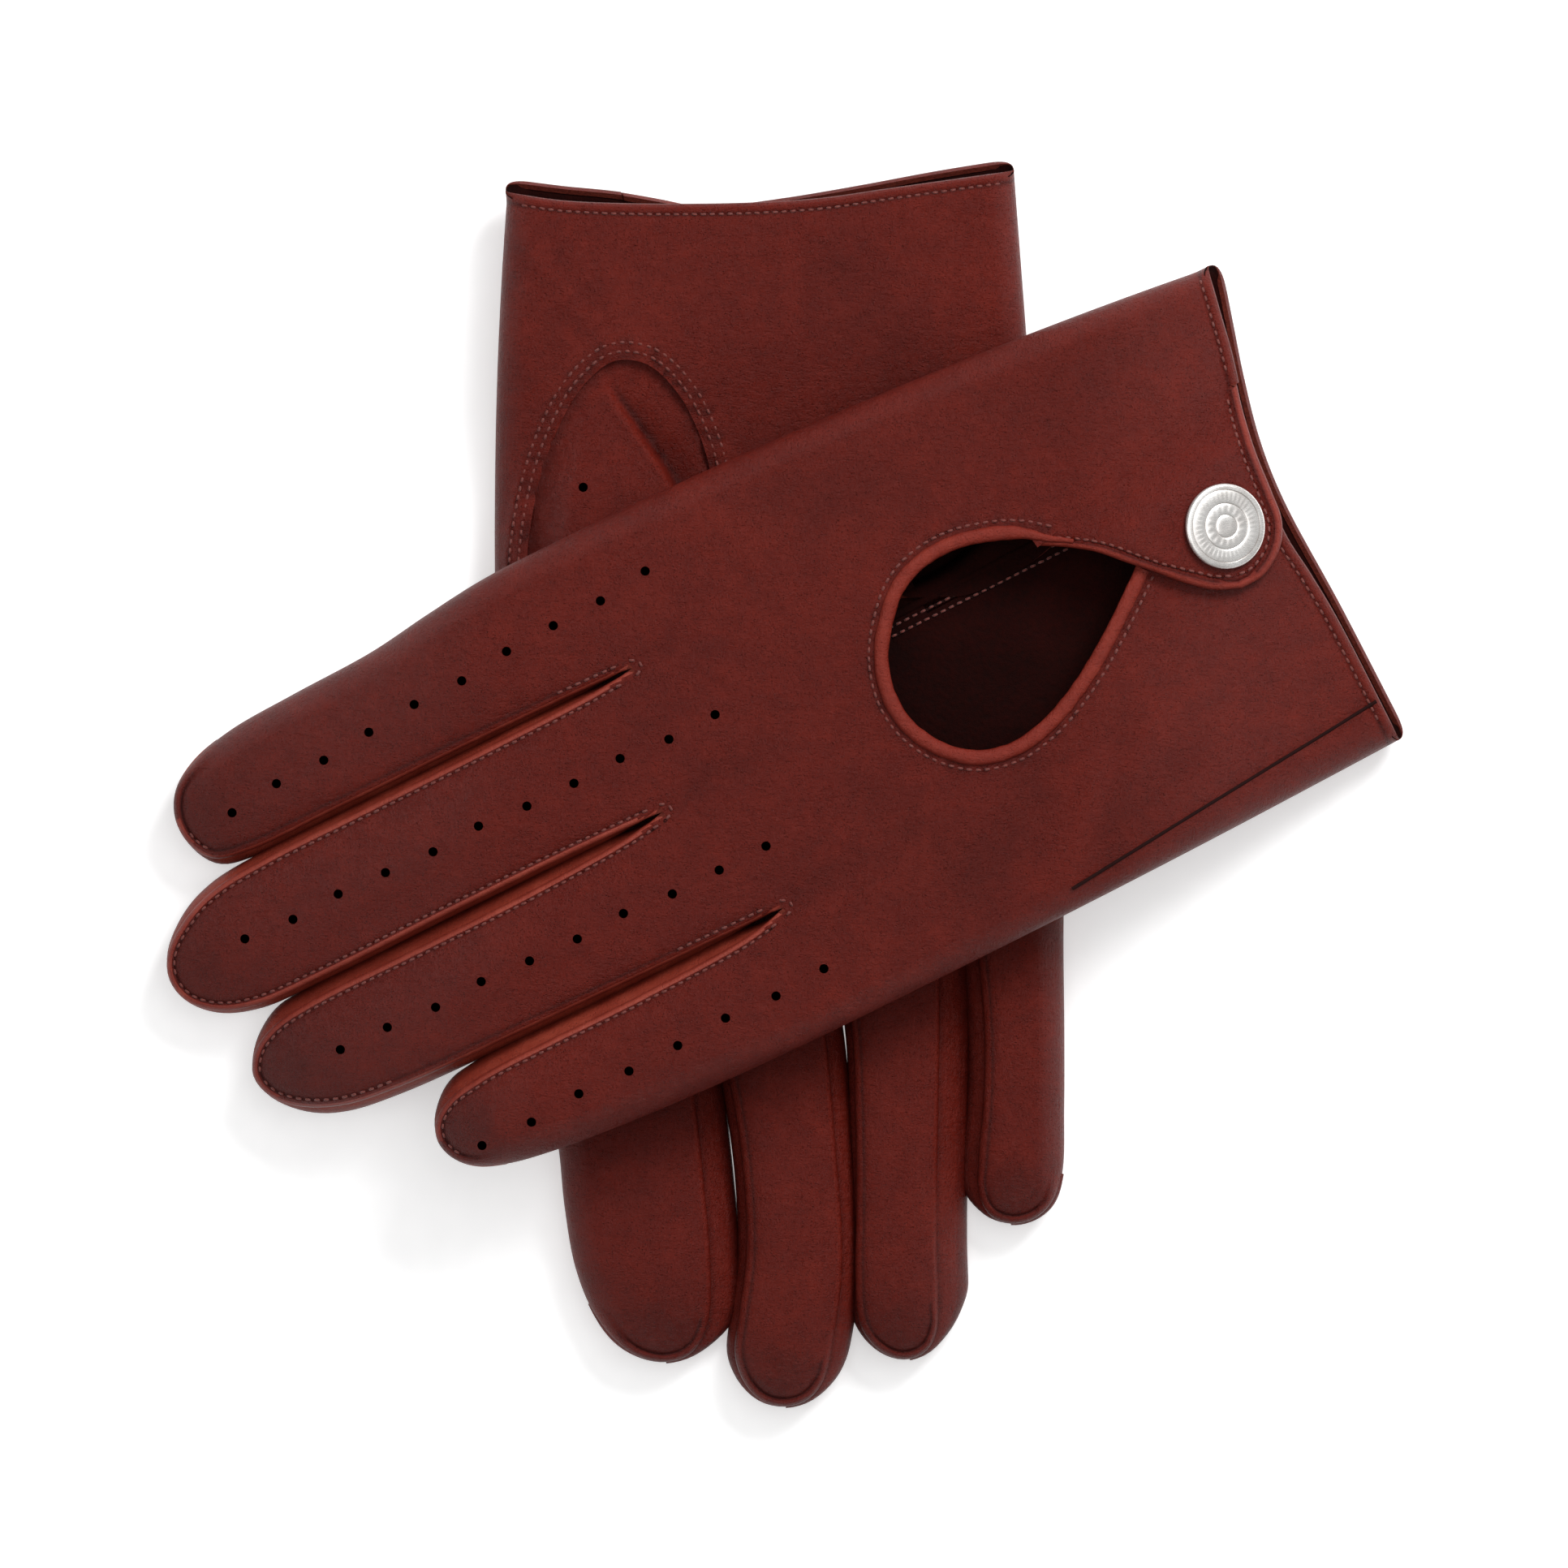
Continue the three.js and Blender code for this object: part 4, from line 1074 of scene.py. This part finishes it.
def build_finger(side, finger):
    name = f"{side}_{finger}"
    shown = VISIBLE[side]
    faces = {face: finger_panel(side, finger, face) for face in (shown, HIDDEN[side])}
    for face, panel in faces.items():
        plain = [edge_style(side, face, finger, half)[1] for half in (0, 1)]
        beaded = side == "left" and face == "back"
        bounds = [BEAD_BOUND if beaded and not folded else 0.0 for folded in plain]
        # On the left glove's back, the beaded edges take the lighter leather as a painted highlight.
        piece = panel_mesh(
            f"{name}_{face}_leather", side, face, panel, (OXBLOOD, SUEDE, EDGE, BEAD_HIGHLIGHT), bounds
        )
        if face == "back":
            cut(piece, side, perforations(finger))
        follow(piece, side, finger, "glove_leather", f"{finger}_{face}")
    bulge = 0.75 if side == "left" else 1.3
    for half, where in ((0, "index_side"), (1, "little_side")):
        piece = band_mesh(f"{name}_band_{where}", side, finger, *faces.values(), half, bulge)
        folded = edge_style(side, shown, finger, half)[1]
        nodes = [] if folded else [f"{finger}_fourchette_{where}"]
        if half == 1 and finger != ORDER[-1]:
            nodes.append(f"fork_{finger}_{ORDER[ORDER.index(finger) + 1]}")
        follow(piece, side, finger, "side_leather", *nodes)
    if side == "left":
        rows = []
        for half, ranges in STITCHED[finger].items():
            rows += [panel_line(faces[shown], shown, half, FINGER_ROW, *ends) for ends in ranges]
        piece = stitches(f"{name}_stitches", side, rows)
        follow(piece, side, finger, "glove_leather")


# ---- The hand -----------------------------------------------------------------------------------

HEM = BEAD * np.array([1.35, 1.05])
CUFF_ROW = 1.96  # the hem's groove and its stitches, from the cuff's edge
# The hem's rows where it turns round the glove's side: they only keep their order there.
HEM_AT_SIDE = np.array([0, 0.1, 0.2, 0.4, 0.7, 1.3, 1.96, 2.6, 3.9, HEM[-1, 0]])
CROWDED = 15  # columns across one finger's width of the hand
HAND_ROWS = 76


def cuff_line(side, face, v):
    """u of a face's cuff edge."""
    table = spline([(v0, u0) for v0, u0 in CUFFS[side, face]])
    return np.interp(v, table[:, 0], table[:, 1])


def hand_columns(side):
    """How each column of the hand sits.

    Its offset from the index side's edge, its share of the width between the two side folds, and how far
    it is turned down, from 0 on the face to 1 at the glove's side.
    """
    edges = np.array([v for _, v in base_edges(side)])
    start, width = edges[0] + MIDDLE, edges[-1] - edges[0] - HEIGHT
    marks = np.clip((edges - start) / width, 0, 1)
    shares = np.concatenate([[0]] + [np.linspace(a, b, CROWDED + 1)[1:] for a, b in zip(marks, marks[1:])])
    fold = FOLD[:-1]
    offset = np.concatenate([fold[:, 0], np.full(len(shares), MIDDLE), HEIGHT - fold[::-1, 0]])
    share = np.concatenate([np.zeros(len(fold)), shares, np.ones(len(fold))])
    down = np.concatenate([fold[:, 1], np.zeros(len(shares)), fold[::-1, 1]]) / MIDDLE
    return offset, share, down


def hand_point(side, offset, share, u):
    left, right = hand_side(side, -1, u), hand_side(side, 1, u)
    return left + offset + (right - left - HEIGHT) * share


def hand_panel(side, face):
    offset, share, down = hand_columns(side)
    at_cuff = hand_point(side, offset, share, 0.0)
    # The two faces run into each other at the glove's sides, in a rounded corner.
    corner_line = (cuff_line(side, "palm", at_cuff) + cuff_line(side, "back", at_cuff)) / 2 + 0.7
    first = mix(cuff_line(side, face, at_cuff), corner_line, down**1.5)
    at_forks = hand_point(side, offset, share, float(HAND_LENGTH))
    last = np.interp(at_forks, *zip(*[(v, u) for u, v in base_edges(side)]))
    t = np.linspace(0, 1, HAND_ROWS)[1:, None]
    hem_rows = mix(HEM[:, :1], HEM_AT_SIDE[:, None], down)
    u = np.vstack([first + hem_rows, mix(first + HEM[-1, 0], last, t)])
    v = hand_point(side, offset, share, u)
    gone = u - first
    h = relief(side, face, u, v)
    # Tone: a painted highlight on the hem's bead, and painted shade in the groove of its stitches.
    tone = 0.4 * np.exp(-(((gone - 0.9) / 0.6) ** 2)) - 0.7 * np.exp(-(((gone - CUFF_ROW) / 0.35) ** 2))
    if face == "palm":
        # Painted shade in the grooves of the thumb's seam.
        raised, deep = arch_relief(u, v)
        h, tone = h + raised, tone + deep
    else:
        off = distance_to(u, v, KEYHOLE_EDGE)
        # The ditch round the keyhole lies lower and carries painted shade. A second line of painted shade runs
        # inside it.
        ditch = np.exp(-(((off - 3.5) / 0.4) ** 2))
        h, tone = h - 0.25 * ditch + 0.25 * (1 - smooth(off, 3.6, 5.2)), tone - 0.5 * ditch
        tone = tone - 0.5 * np.exp(-(((off - 2.4) / 0.35) ** 2))
    if face == VISIBLE[side]:
        # Painted shade in the folds, and a painted highlight on the ridges.
        tone = tone - 0.5 * folds(side, u, v)
    hem_drop = np.concatenate([HEM[:, 1], np.zeros(len(t))])[:, None]
    h = h - hem_drop * (1 - down)
    h = h - down * (MIDDLE + h)
    # The leather is pared thin where the cuff turns round the glove's side.
    corner = smooth(down, 0.2, 0.9) * (1 - smooth(gone, 1, 4))
    depth = (LEATHER * (1 - 0.85 * corner)).ravel()
    points = np.column_stack([u.ravel(), v.ravel(), level(face, h).ravel()])
    name = f"{side}_{face}_leather"
    return slab(
        name, side, points, grid_quads(*u.shape), tone.ravel(), outward(face), (OXBLOOD, SUEDE, EDGE), depth
    )


def hand_height(side, face, u, v):
    """The height of the hand's face, with the side folds."""
    h = relief(side, face, u, v)
    if face == "palm":
        h = h + arch_relief(u, v)[0]
    inset = np.minimum(v - hand_side(side, -1, u), hand_side(side, 1, u) - v)
    down = np.interp(inset, FOLD[:, 0], FOLD[:, 1]) / MIDDLE
    return h - down * (MIDDLE + h)


def on_hand(side, face, line, sink):
    """A line in u and v, laid on a face of the hand, for stitches."""
    line = np.asarray(line, float)
    w = level(face, hand_height(side, face, line[:, 0], line[:, 1]) - sink)
    return with_normals(np.column_stack([line, w]), face)


def beside(line, distance):
    """A line kept at a distance on the left of another."""
    ahead = np.gradient(line, axis=0)
    ahead /= np.linalg.norm(ahead, axis=1, keepdims=True)
    return line + np.column_stack([-ahead[:, 1], ahead[:, 0]]) * distance


def tube(name, side, line, radii, materials, segments=12, taper=0):
    """A rolled binding: a flattened tube along a line of u, v and w, thin over its first taper points."""
    ahead = np.gradient(line, axis=0)
    ahead /= np.linalg.norm(ahead, axis=1, keepdims=True)
    across = np.column_stack([-ahead[:, 1], ahead[:, 0], np.zeros(len(line))])
    across /= np.linalg.norm(across, axis=1, keepdims=True)
    angles = np.linspace(0, 2 * math.pi, segments, endpoint=False)
    wave = 1 + 0.05 * noise(np.arange(len(line)), np.zeros(len(line)), 2.2, 12)
    if taper:
        wave *= 0.3 + 0.7 * smooth(np.arange(len(line)), 0, taper)
    points = []
    for p, a, f in zip(line, across, wave):
        for angle in angles:
            up = np.array([0, 0, math.sin(angle) * radii[1] * f])
            points.append(p + a * math.cos(angle) * radii[0] * f + up)
    points = np.array(points)
    quads = grid_quads(len(line), segments, closed=True)
    quads += [tuple(range(segments - 1, -1, -1)), tuple(range(len(points) - segments, len(points)))]
    if np.sum(np.cross(points[1] - points[0], points[segments] - points[0]) * (points[0] - line[0])) < 0:
        quads = [quad[::-1] for quad in quads]
    # Tone: lighter over the top and darker underneath, as painted light from above.
    high = np.tile(0.28 * np.sin(angles) * (1 if side == "left" else -1), len(line))
    return build(name, side, points, quads, materials, tone=high)


# ---- Keyhole, strap and snap --------------------------------------------------------------------


STRAP_BOUNDS = (1.95, 1.95)  # the strap's lighter rim, a painted highlight, from its two edges


def strap_climb(u, v):
    """The strap climbs onto the other half of the back over this much height."""
    (au, av), (bu, bv) = STRAP_ROOT
    off = ((bu - au) * (v - av) - (bv - av) * (u - au)) / math.hypot(bu - au, bv - av)
    return STRAP_CLIMB * smooth(off, 0.3, 10)


def strap_panel(side):
    """The strap's face. It lies a little lower round the snap, which presses it down."""

    def height(panel, u, v, share):
        flat = relief(side, "back", u, v)
        near = np.exp(-((np.hypot(u - SNAP_PLACE[0], v - SNAP_PLACE[1]) / 8.5) ** 4))
        rise = strap_climb(u, v)
        own = 0.35 * (1 - (1 - share) ** 2) - 0.45 * near
        return mix(flat + rise - 0.06, rise + own, smooth(rise, 0, 1.5))

    up, down = spline(STRAP_FREE_EDGE), spline(STRAP_CUFF_EDGE[side])
    profile = BEAD * np.array([1.45, 1.1])
    profile[-1, 0] = FOLD_WIDTH
    outlines = [even(up, 61), even(down[::-1], 61)]
    return Panel(outlines, [profile, profile], [False, False], 11, height, 0.01)


def snap_frame(side):
    """The snap's place on the back, square to the leather, in a glove's millimetres with its drape."""
    u, v = SNAP_PLACE
    rise = float(drape(side, u, v))
    slope = (rise - float(drape(side, u + 1, v)), rise - float(drape(side, u, v + 1)))
    normal = Vector((*slope, 1)).normalized()
    turn = Vector((0, 0, 1)).rotation_difference(normal).to_matrix().to_4x4()
    return Matrix.Translation((u, v, HEIGHT + rise)) @ turn


def build_cap(side):
    """The turned cap, about the snap's axis, with its fluted rings."""
    segments = 120
    axis = snap_frame(side)
    points, tone = [], []
    for radius, z in CAP:
        for n in range(segments):
            angle = 2 * math.pi * n / segments
            lift = cap_ripple(radius, z, angle)
            p = axis @ Vector((radius * math.cos(angle), radius * math.sin(angle), z + lift))
            # world() adds the drape again, so it comes off here.
            points.append((p.x, p.y, p.z - float(drape(side, p.x, p.y))))
        # Painted shade in the turned grooves of the cap.
        in_groove = any(low < radius < high for low, high in CAP_GROOVES)
        tone += [-0.8 if in_groove else 0.0] * segments
    quads = grid_quads(len(CAP), segments, closed=True)
    quads += [tuple(range(segments)), tuple(range(len(points) - 1, len(points) - segments - 1, -1))]
    quads = [quad[::-1] for quad in quads]
    return build(f"{side}_cap", side, np.array(points), quads, (NICKEL,), tone=tone, sharp=38)


def cap_ripple(radius, z, angle):
    """A fine fluted ring between the turned rings, on the top of the cap only."""
    if z < 5.0:
        return 0.0
    ring = math.exp(-(((radius - 5.3) / 0.62) ** 4))
    spokes = math.exp(-(((radius - 3.1) / 0.5) ** 4))
    flutes = 0.09 * ring * (0.5 + 0.5 * math.sin(40 * angle))
    return flutes + 0.06 * spokes * (0.5 + 0.5 * math.sin(16 * angle))


# The cap's section from its hollow to the middle of its top, as radius and height over the back.
CAP = [
    (0.02, 3.0), (1.5, 3.0), (1.5, 4.2), (6.6, 4.2), (7.3, 4.16), (7.6, 4.32), (7.62, 4.7), (7.56, 4.9),
    (7.4, 5.06), (7.1, 5.13), (6.6, 5.14), (6.5, 5.0), (6.35, 5.04), (6.1, 5.08), (5.7, 5.1), (5.3, 5.11),
    (4.9, 5.12), (4.5, 5.13), (4.25, 5.09), (4.12, 5.02), (4.0, 5.1), (3.7, 5.16), (3.3, 5.17), (2.9, 5.18),
    (2.5, 5.18), (2.15, 5.14), (2.05, 5.07), (1.95, 5.13), (1.5, 5.2), (0.9, 5.23), (0.4, 5.2), (0.02, 5.19)
]
CAP_GROOVES = ((6.35, 6.6), (4.0, 4.25), (1.95, 2.15))

# The seam down the left glove's back, near the little finger's side, drawn as a thin near-black tube: painted
# shade along the lapped edge.
SIDE_SEAM = [(4.2, 37.6), (14, 38.6), (30, 40.1), (48, 41.8), (68, 43.8)]


def build_back(side):
    back = hand_panel(side, "back")
    (cu, cv), (ku, kv) = STRAP_ROOT
    length = math.hypot(ku - cu, kv - cv)
    du, dv = (ku - cu) / length, (kv - cv) / length
    # One opening: round the keyhole, along the flap's free edge, and back along the strap's fold.
    keyhole = beside(KEYHOLE_EDGE, -1.0)
    clear = keyhole[5:]
    # The hand's leather laps over the strap's root.
    lap = 0.4 * np.array([-dv, du])
    fold = np.array([(cu - 21 * du, cv - 21 * dv), (ku, kv)]) + lap
    under_strap = np.array([clear[-1], (-12, -12), *fold])
    opening = np.vstack([clear, even(under_strap, 60)[1:]])
    tools = [prism(opening, HEIGHT - 4, HEIGHT + 5)]
    for finger in ORDER:
        tools += perforations(finger)
    cut(back, side, tools)
    follow(back, side, None, "glove_leather", "back_panel")

    proud = 0.15 if side == "left" else -1.05
    # The binding runs on a little along the strap's edge.
    edge = np.vstack([[(41.4, -10.75), (43, -11.8), (45, -13)], KEYHOLE_EDGE[6:]])
    line = even(beside(edge, -1.3), 190)
    h = relief(side, "back", line[:, 0], line[:, 1])
    line = np.column_stack([line, HEIGHT + h + proud])
    binding = tube(f"{side}_binding_roll", side, line, (1.35, 1.0), (BINDING_HIGHLIGHT,), taper=22)
    follow(binding, side, None, "binding_leather", "keyhole_binding")

    sink = -0.05 if side == "left" else 0.1
    rows = [on_hand(side, "back", even(beside(edge[2:], -3.5), 120), sink)]
    if side == "left":
        rows += cuff_rows(side, "back", [(-44, -27), (3.5, 41)]) + fork_rows(side)
        path = even(spline(SIDE_SEAM), 70)
        h = relief(side, "back", path[:, 0], path[:, 1])
        path = np.column_stack([path, HEIGHT + h + 0.06])
        seam = tube(f"{side}_side_seam_shade", side, path, (0.3, 0.16), (HOLE_SHADE,))
        follow(seam, side, None, "glove_leather")
    piece = stitches(f"{side}_back_stitches", side, rows)
    follow(piece, side, None, "glove_leather")


def cuff_rows(side, face, spans):
    """The hem's stitches, over stretches of v."""
    rows = []
    for start, end in spans:
        v = np.linspace(start, end, 60)
        line = np.column_stack([cuff_line(side, face, v) + CUFF_ROW, v])
        rows.append(on_hand(side, face, line, 0.42))
    return rows


def fork_rows(side):
    """The stitches that turn round the end of each slit, on the hand."""
    rows = []
    for u, v in base_edges(side)[1:4]:
        angles = np.linspace(-1.35, 1.35, 9)
        line = np.column_stack([u + 0.9 - 2.5 * np.cos(angles), v + 1.55 * np.sin(angles)])
        rows.append(on_hand(side, "back", line, 0))
    return rows


def build_strap(side):
    panel = strap_panel(side)
    materials = (OXBLOOD, SUEDE, EDGE, BINDING_HIGHLIGHT)
    piece = panel_mesh(f"{side}_strap_leather", side, "back", panel, materials, STRAP_BOUNDS, tip_tone=0)
    rows = [panel_line(panel, "back", half, 2.5, 0.03, 0.999) for half in (0, 1)]
    sewing = stitches(f"{side}_strap_stitches", side, rows)
    for part, nodes in ((piece, ["strap"]), (sewing, [])):
        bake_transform(part)
        finish_piece(side, nodes)
    cap = build_cap(side)
    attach(cap, side + "_strap")
    finish_piece(side, ["snap_cap"])


# ---- Palm and thumb -----------------------------------------------------------------------------

# The thumb's edges on the index side and under its crest, and the crest, where the thumb ends.
THUMB_LEFT = [
    (28.2, -28.6), (29.4, -33.4), (33, -38.8), (40, -42.6), (50, -45.8), (60, -47.4), (70, -47.8),
    (80, -46.4), (86, -43.6), (90, -39.6), (92.4, -34)
]
THUMB_RIGHT = [
    (28.2, -27.4), (29.6, -21.6), (34.4, -16.6), (43, -13), (52, -11.4), (62, -11.6), (68, -14.2),
    (76, -17.4), (84, -19), (89, -22.4), (92.4, -28)
]
THUMB_CREST = [
    (28, -30.5), (33.7, -29.6), (42, -25), (51.8, -19.6), (62, -16.6), (70, -16.4), (80, -18.4),
    (88, -21.6), (92.4, -28.4)
]


def thumb_height(u, v):
    """The folded thumb over the palm's plain level, and its thin leather beyond the crest."""
    left = np.interp(u, *np.array(THUMB_LEFT).T)
    crest = np.interp(u, *spline(THUMB_CREST).T)
    tall = 5.0 * smooth(u, 31, 56) * np.sqrt(np.clip(1 - (np.clip(u - 79, 0, None) / 14) ** 2, 0, 1))
    near = smooth(v - left, 0.5, 9) ** 0.7
    far = 1 - smooth(v, crest - 1.1, crest + 0.35)
    rim = 0.35 * np.exp(-(((v - crest + 1.6) / 1.0) ** 2)) * smooth(u, 33, 40)
    web = -0.85 + 0.9 * smooth(v - crest, 0.3, 6) * (1 - smooth(v, -15, -12)) * smooth(u, 32, 44)
    waves = 0.2 * noise(u, v, 9, 31) + 0.1 * noise(u, v, 4, 32)
    return web + (tall + 0.85 + rim) * near * far + waves * smooth(v - left, 1, 4)


def build_palm(side):
    palm = hand_panel(side, "palm")
    cut(palm, side, [prism(ARCH[ARCH[:, 0] < 70], -3, 4)])
    follow(palm, side, None, "glove_leather", "palm_panel")
    build_thumb(side)
    rows = [on_hand(side, "palm", even(beside(ARCH, far), 110), 0) for far in ARCH_ROWS]
    rows += cuff_rows(side, "palm", [(-43, 43)])
    piece = stitches(f"{side}_palm_stitches", side, rows)
    follow(piece, side, None, "glove_leather")
    if side == "left":
        build_inner_seam(side)


def build_thumb(side):
    u = np.linspace(28.2, 92.4, 84)
    left = np.interp(u, *spline(THUMB_LEFT).T)
    right = np.interp(u, *spline(THUMB_RIGHT).T)
    share = np.linspace(0, 1, 64)
    grid_u = np.repeat(u[:, None], len(share), axis=1)
    v = mix(left[:, None], right[:, None], share)
    h = thumb_height(grid_u, v)
    crest = np.interp(u, *spline(THUMB_CREST).T)[:, None]
    # Tone: a painted highlight on the crest's edge, painted shadow beyond it, and painted shade beside the
    # seam.
    tone = 0.55 * np.exp(-(((v - crest + 0.9) / 0.8) ** 2)) - 0.9 * np.exp(-(((v - crest - 0.7) / 0.9) ** 2))
    shade_by_seam = 0.5 * (1 - smooth(distance_to(grid_u, v, ARCH), 0, 2.5)) * (grid_u < 72)
    tone = tone * smooth(grid_u, 32, 38) - shade_by_seam
    points = np.column_stack([grid_u.ravel(), v.ravel(), level("palm", h).ravel()])
    thumb = slab(
        f"{side}_thumb_leather", side, points, grid_quads(*grid_u.shape), tone.ravel(), outward("palm"),
        (OXBLOOD, SUEDE, EDGE), STRIP_LEATHER,
    )
    cut(thumb, side, [vent_hole(51.8, -35.7, -9, 3)])
    follow(thumb, side, None, "glove_leather", "thumb_front")


def build_inner_seam(side):
    """The thumb's seam shows inside the glove through the keyhole."""
    rows = []
    for v in (-10.9, -12.5):
        u = np.linspace(40, 84, 40)
        line = np.column_stack([u, v + 0.012 * (u - 60), np.full(len(u), LEATHER + 0.05)])
        rows.append(with_normals(line, "back"))
    piece = stitches(f"{side}_inner_stitches", side, rows)
    follow(piece, side, None, "glove_leather")
    u = np.linspace(38, 86, 60)
    line = np.column_stack([u, -14.2 + 0.02 * (u - 60), np.full(len(u), LEATHER + 0.1)])
    ridge = tube(f"{side}_inner_seam", side, line, (0.7, 0.45), (SUEDE,), segments=8)
    follow(ridge, side, None, "side_leather")


# ---- The pair -----------------------------------------------------------------------------------

for side in ("left", "right"):
    build_back(side)
    build_strap(side)
    build_palm(side)
    for finger in ORDER:
        build_finger(side, finger)
    kept = {"snap_socket": NICKEL, "snap_stud": NICKEL, "snap_post": NICKEL, "thumb_back": OXBLOOD}
    for node, material in kept.items():
        materials = frame["nodes"][f"{side}_{node}"].data.materials
        materials.clear()
        materials.append(material)

# ---- Floor, light and camera --------------------------------------------------------------------

FLOOR_REACH = 8
FLOOR_LEVEL = -0.0006
corners = ((-1, -1), (1, -1), (1, 1), (-1, 1))
floor_points = [(x * FLOOR_REACH, y * FLOOR_REACH, FLOOR_LEVEL) for x, y in corners]
floor_mesh = bpy.data.meshes.new("floor")
floor_mesh.from_pydata(floor_points, [], [(0, 1, 2, 3)])
paper = Nodes("paper")
fibre = paper.noise(300, 4)
paper.shader.inputs["Emission Color"].default_value = (1, 1, 1, 1)
paper.shader.inputs["Emission Strength"].default_value = 0.42
paper.set(
    Base_Color=paper.ramp(fibre, [(0.3, (0.86, 0.86, 0.86)), (0.7, (0.9, 0.9, 0.9))]),
    Roughness=paper.between(fibre, 0.2, 0.8, 0.8, 0.95),
)
floor_mesh.materials.append(paper.material)
floor = add_object("floor", floor_mesh)


def area_light(name, place, size, power):
    """A white panel of light that points at the gloves."""
    data = bpy.data.lights.new(name, "AREA")
    data.shape = "RECTANGLE"
    data.size, data.size_y = size
    data.energy = power
    light = add_object(name, data)
    light.location = place
    light.rotation_euler = (-Vector(place)).to_track_quat("-Z", "Y").to_euler()


area_light("key", (0.42, 0.62, 0.66), (0.4, 0.4), 8)
area_light("top", (0.1, 0.1, 1.2), (1.1, 1.1), 4.7)
area_light("side", (-0.8, -0.2, 0.6), (0.5, 0.8), 1.6)

world_light = bpy.data.worlds.new("studio")
world_light.use_nodes = True
background = world_light.node_tree.nodes["Background"]
background.inputs["Color"].default_value = (1, 1, 1, 1)
background.inputs["Strength"].default_value = 0.26
bpy.context.scene.world = world_light
bpy.context.scene.view_settings.view_transform = "Standard"

VIEW_HEIGHT = 4  # metres, straight above
VIEW_WIDTH = 0.2814
SENSOR_WIDTH = 36  # millimetres, as the lens is
VIEW_SHIFT = (0.8, -0.15)  # millimetres, from the pair's middle
camera_data = bpy.data.cameras.new("camera")
camera_data.lens = SENSOR_WIDTH * VIEW_HEIGHT / VIEW_WIDTH
camera_data.clip_end = 20
camera = add_object("camera", camera_data)
camera.location = (*((PAIR_SHIFT + VIEW_SHIFT) * MM), VIEW_HEIGHT)
bpy.context.scene.camera = camera
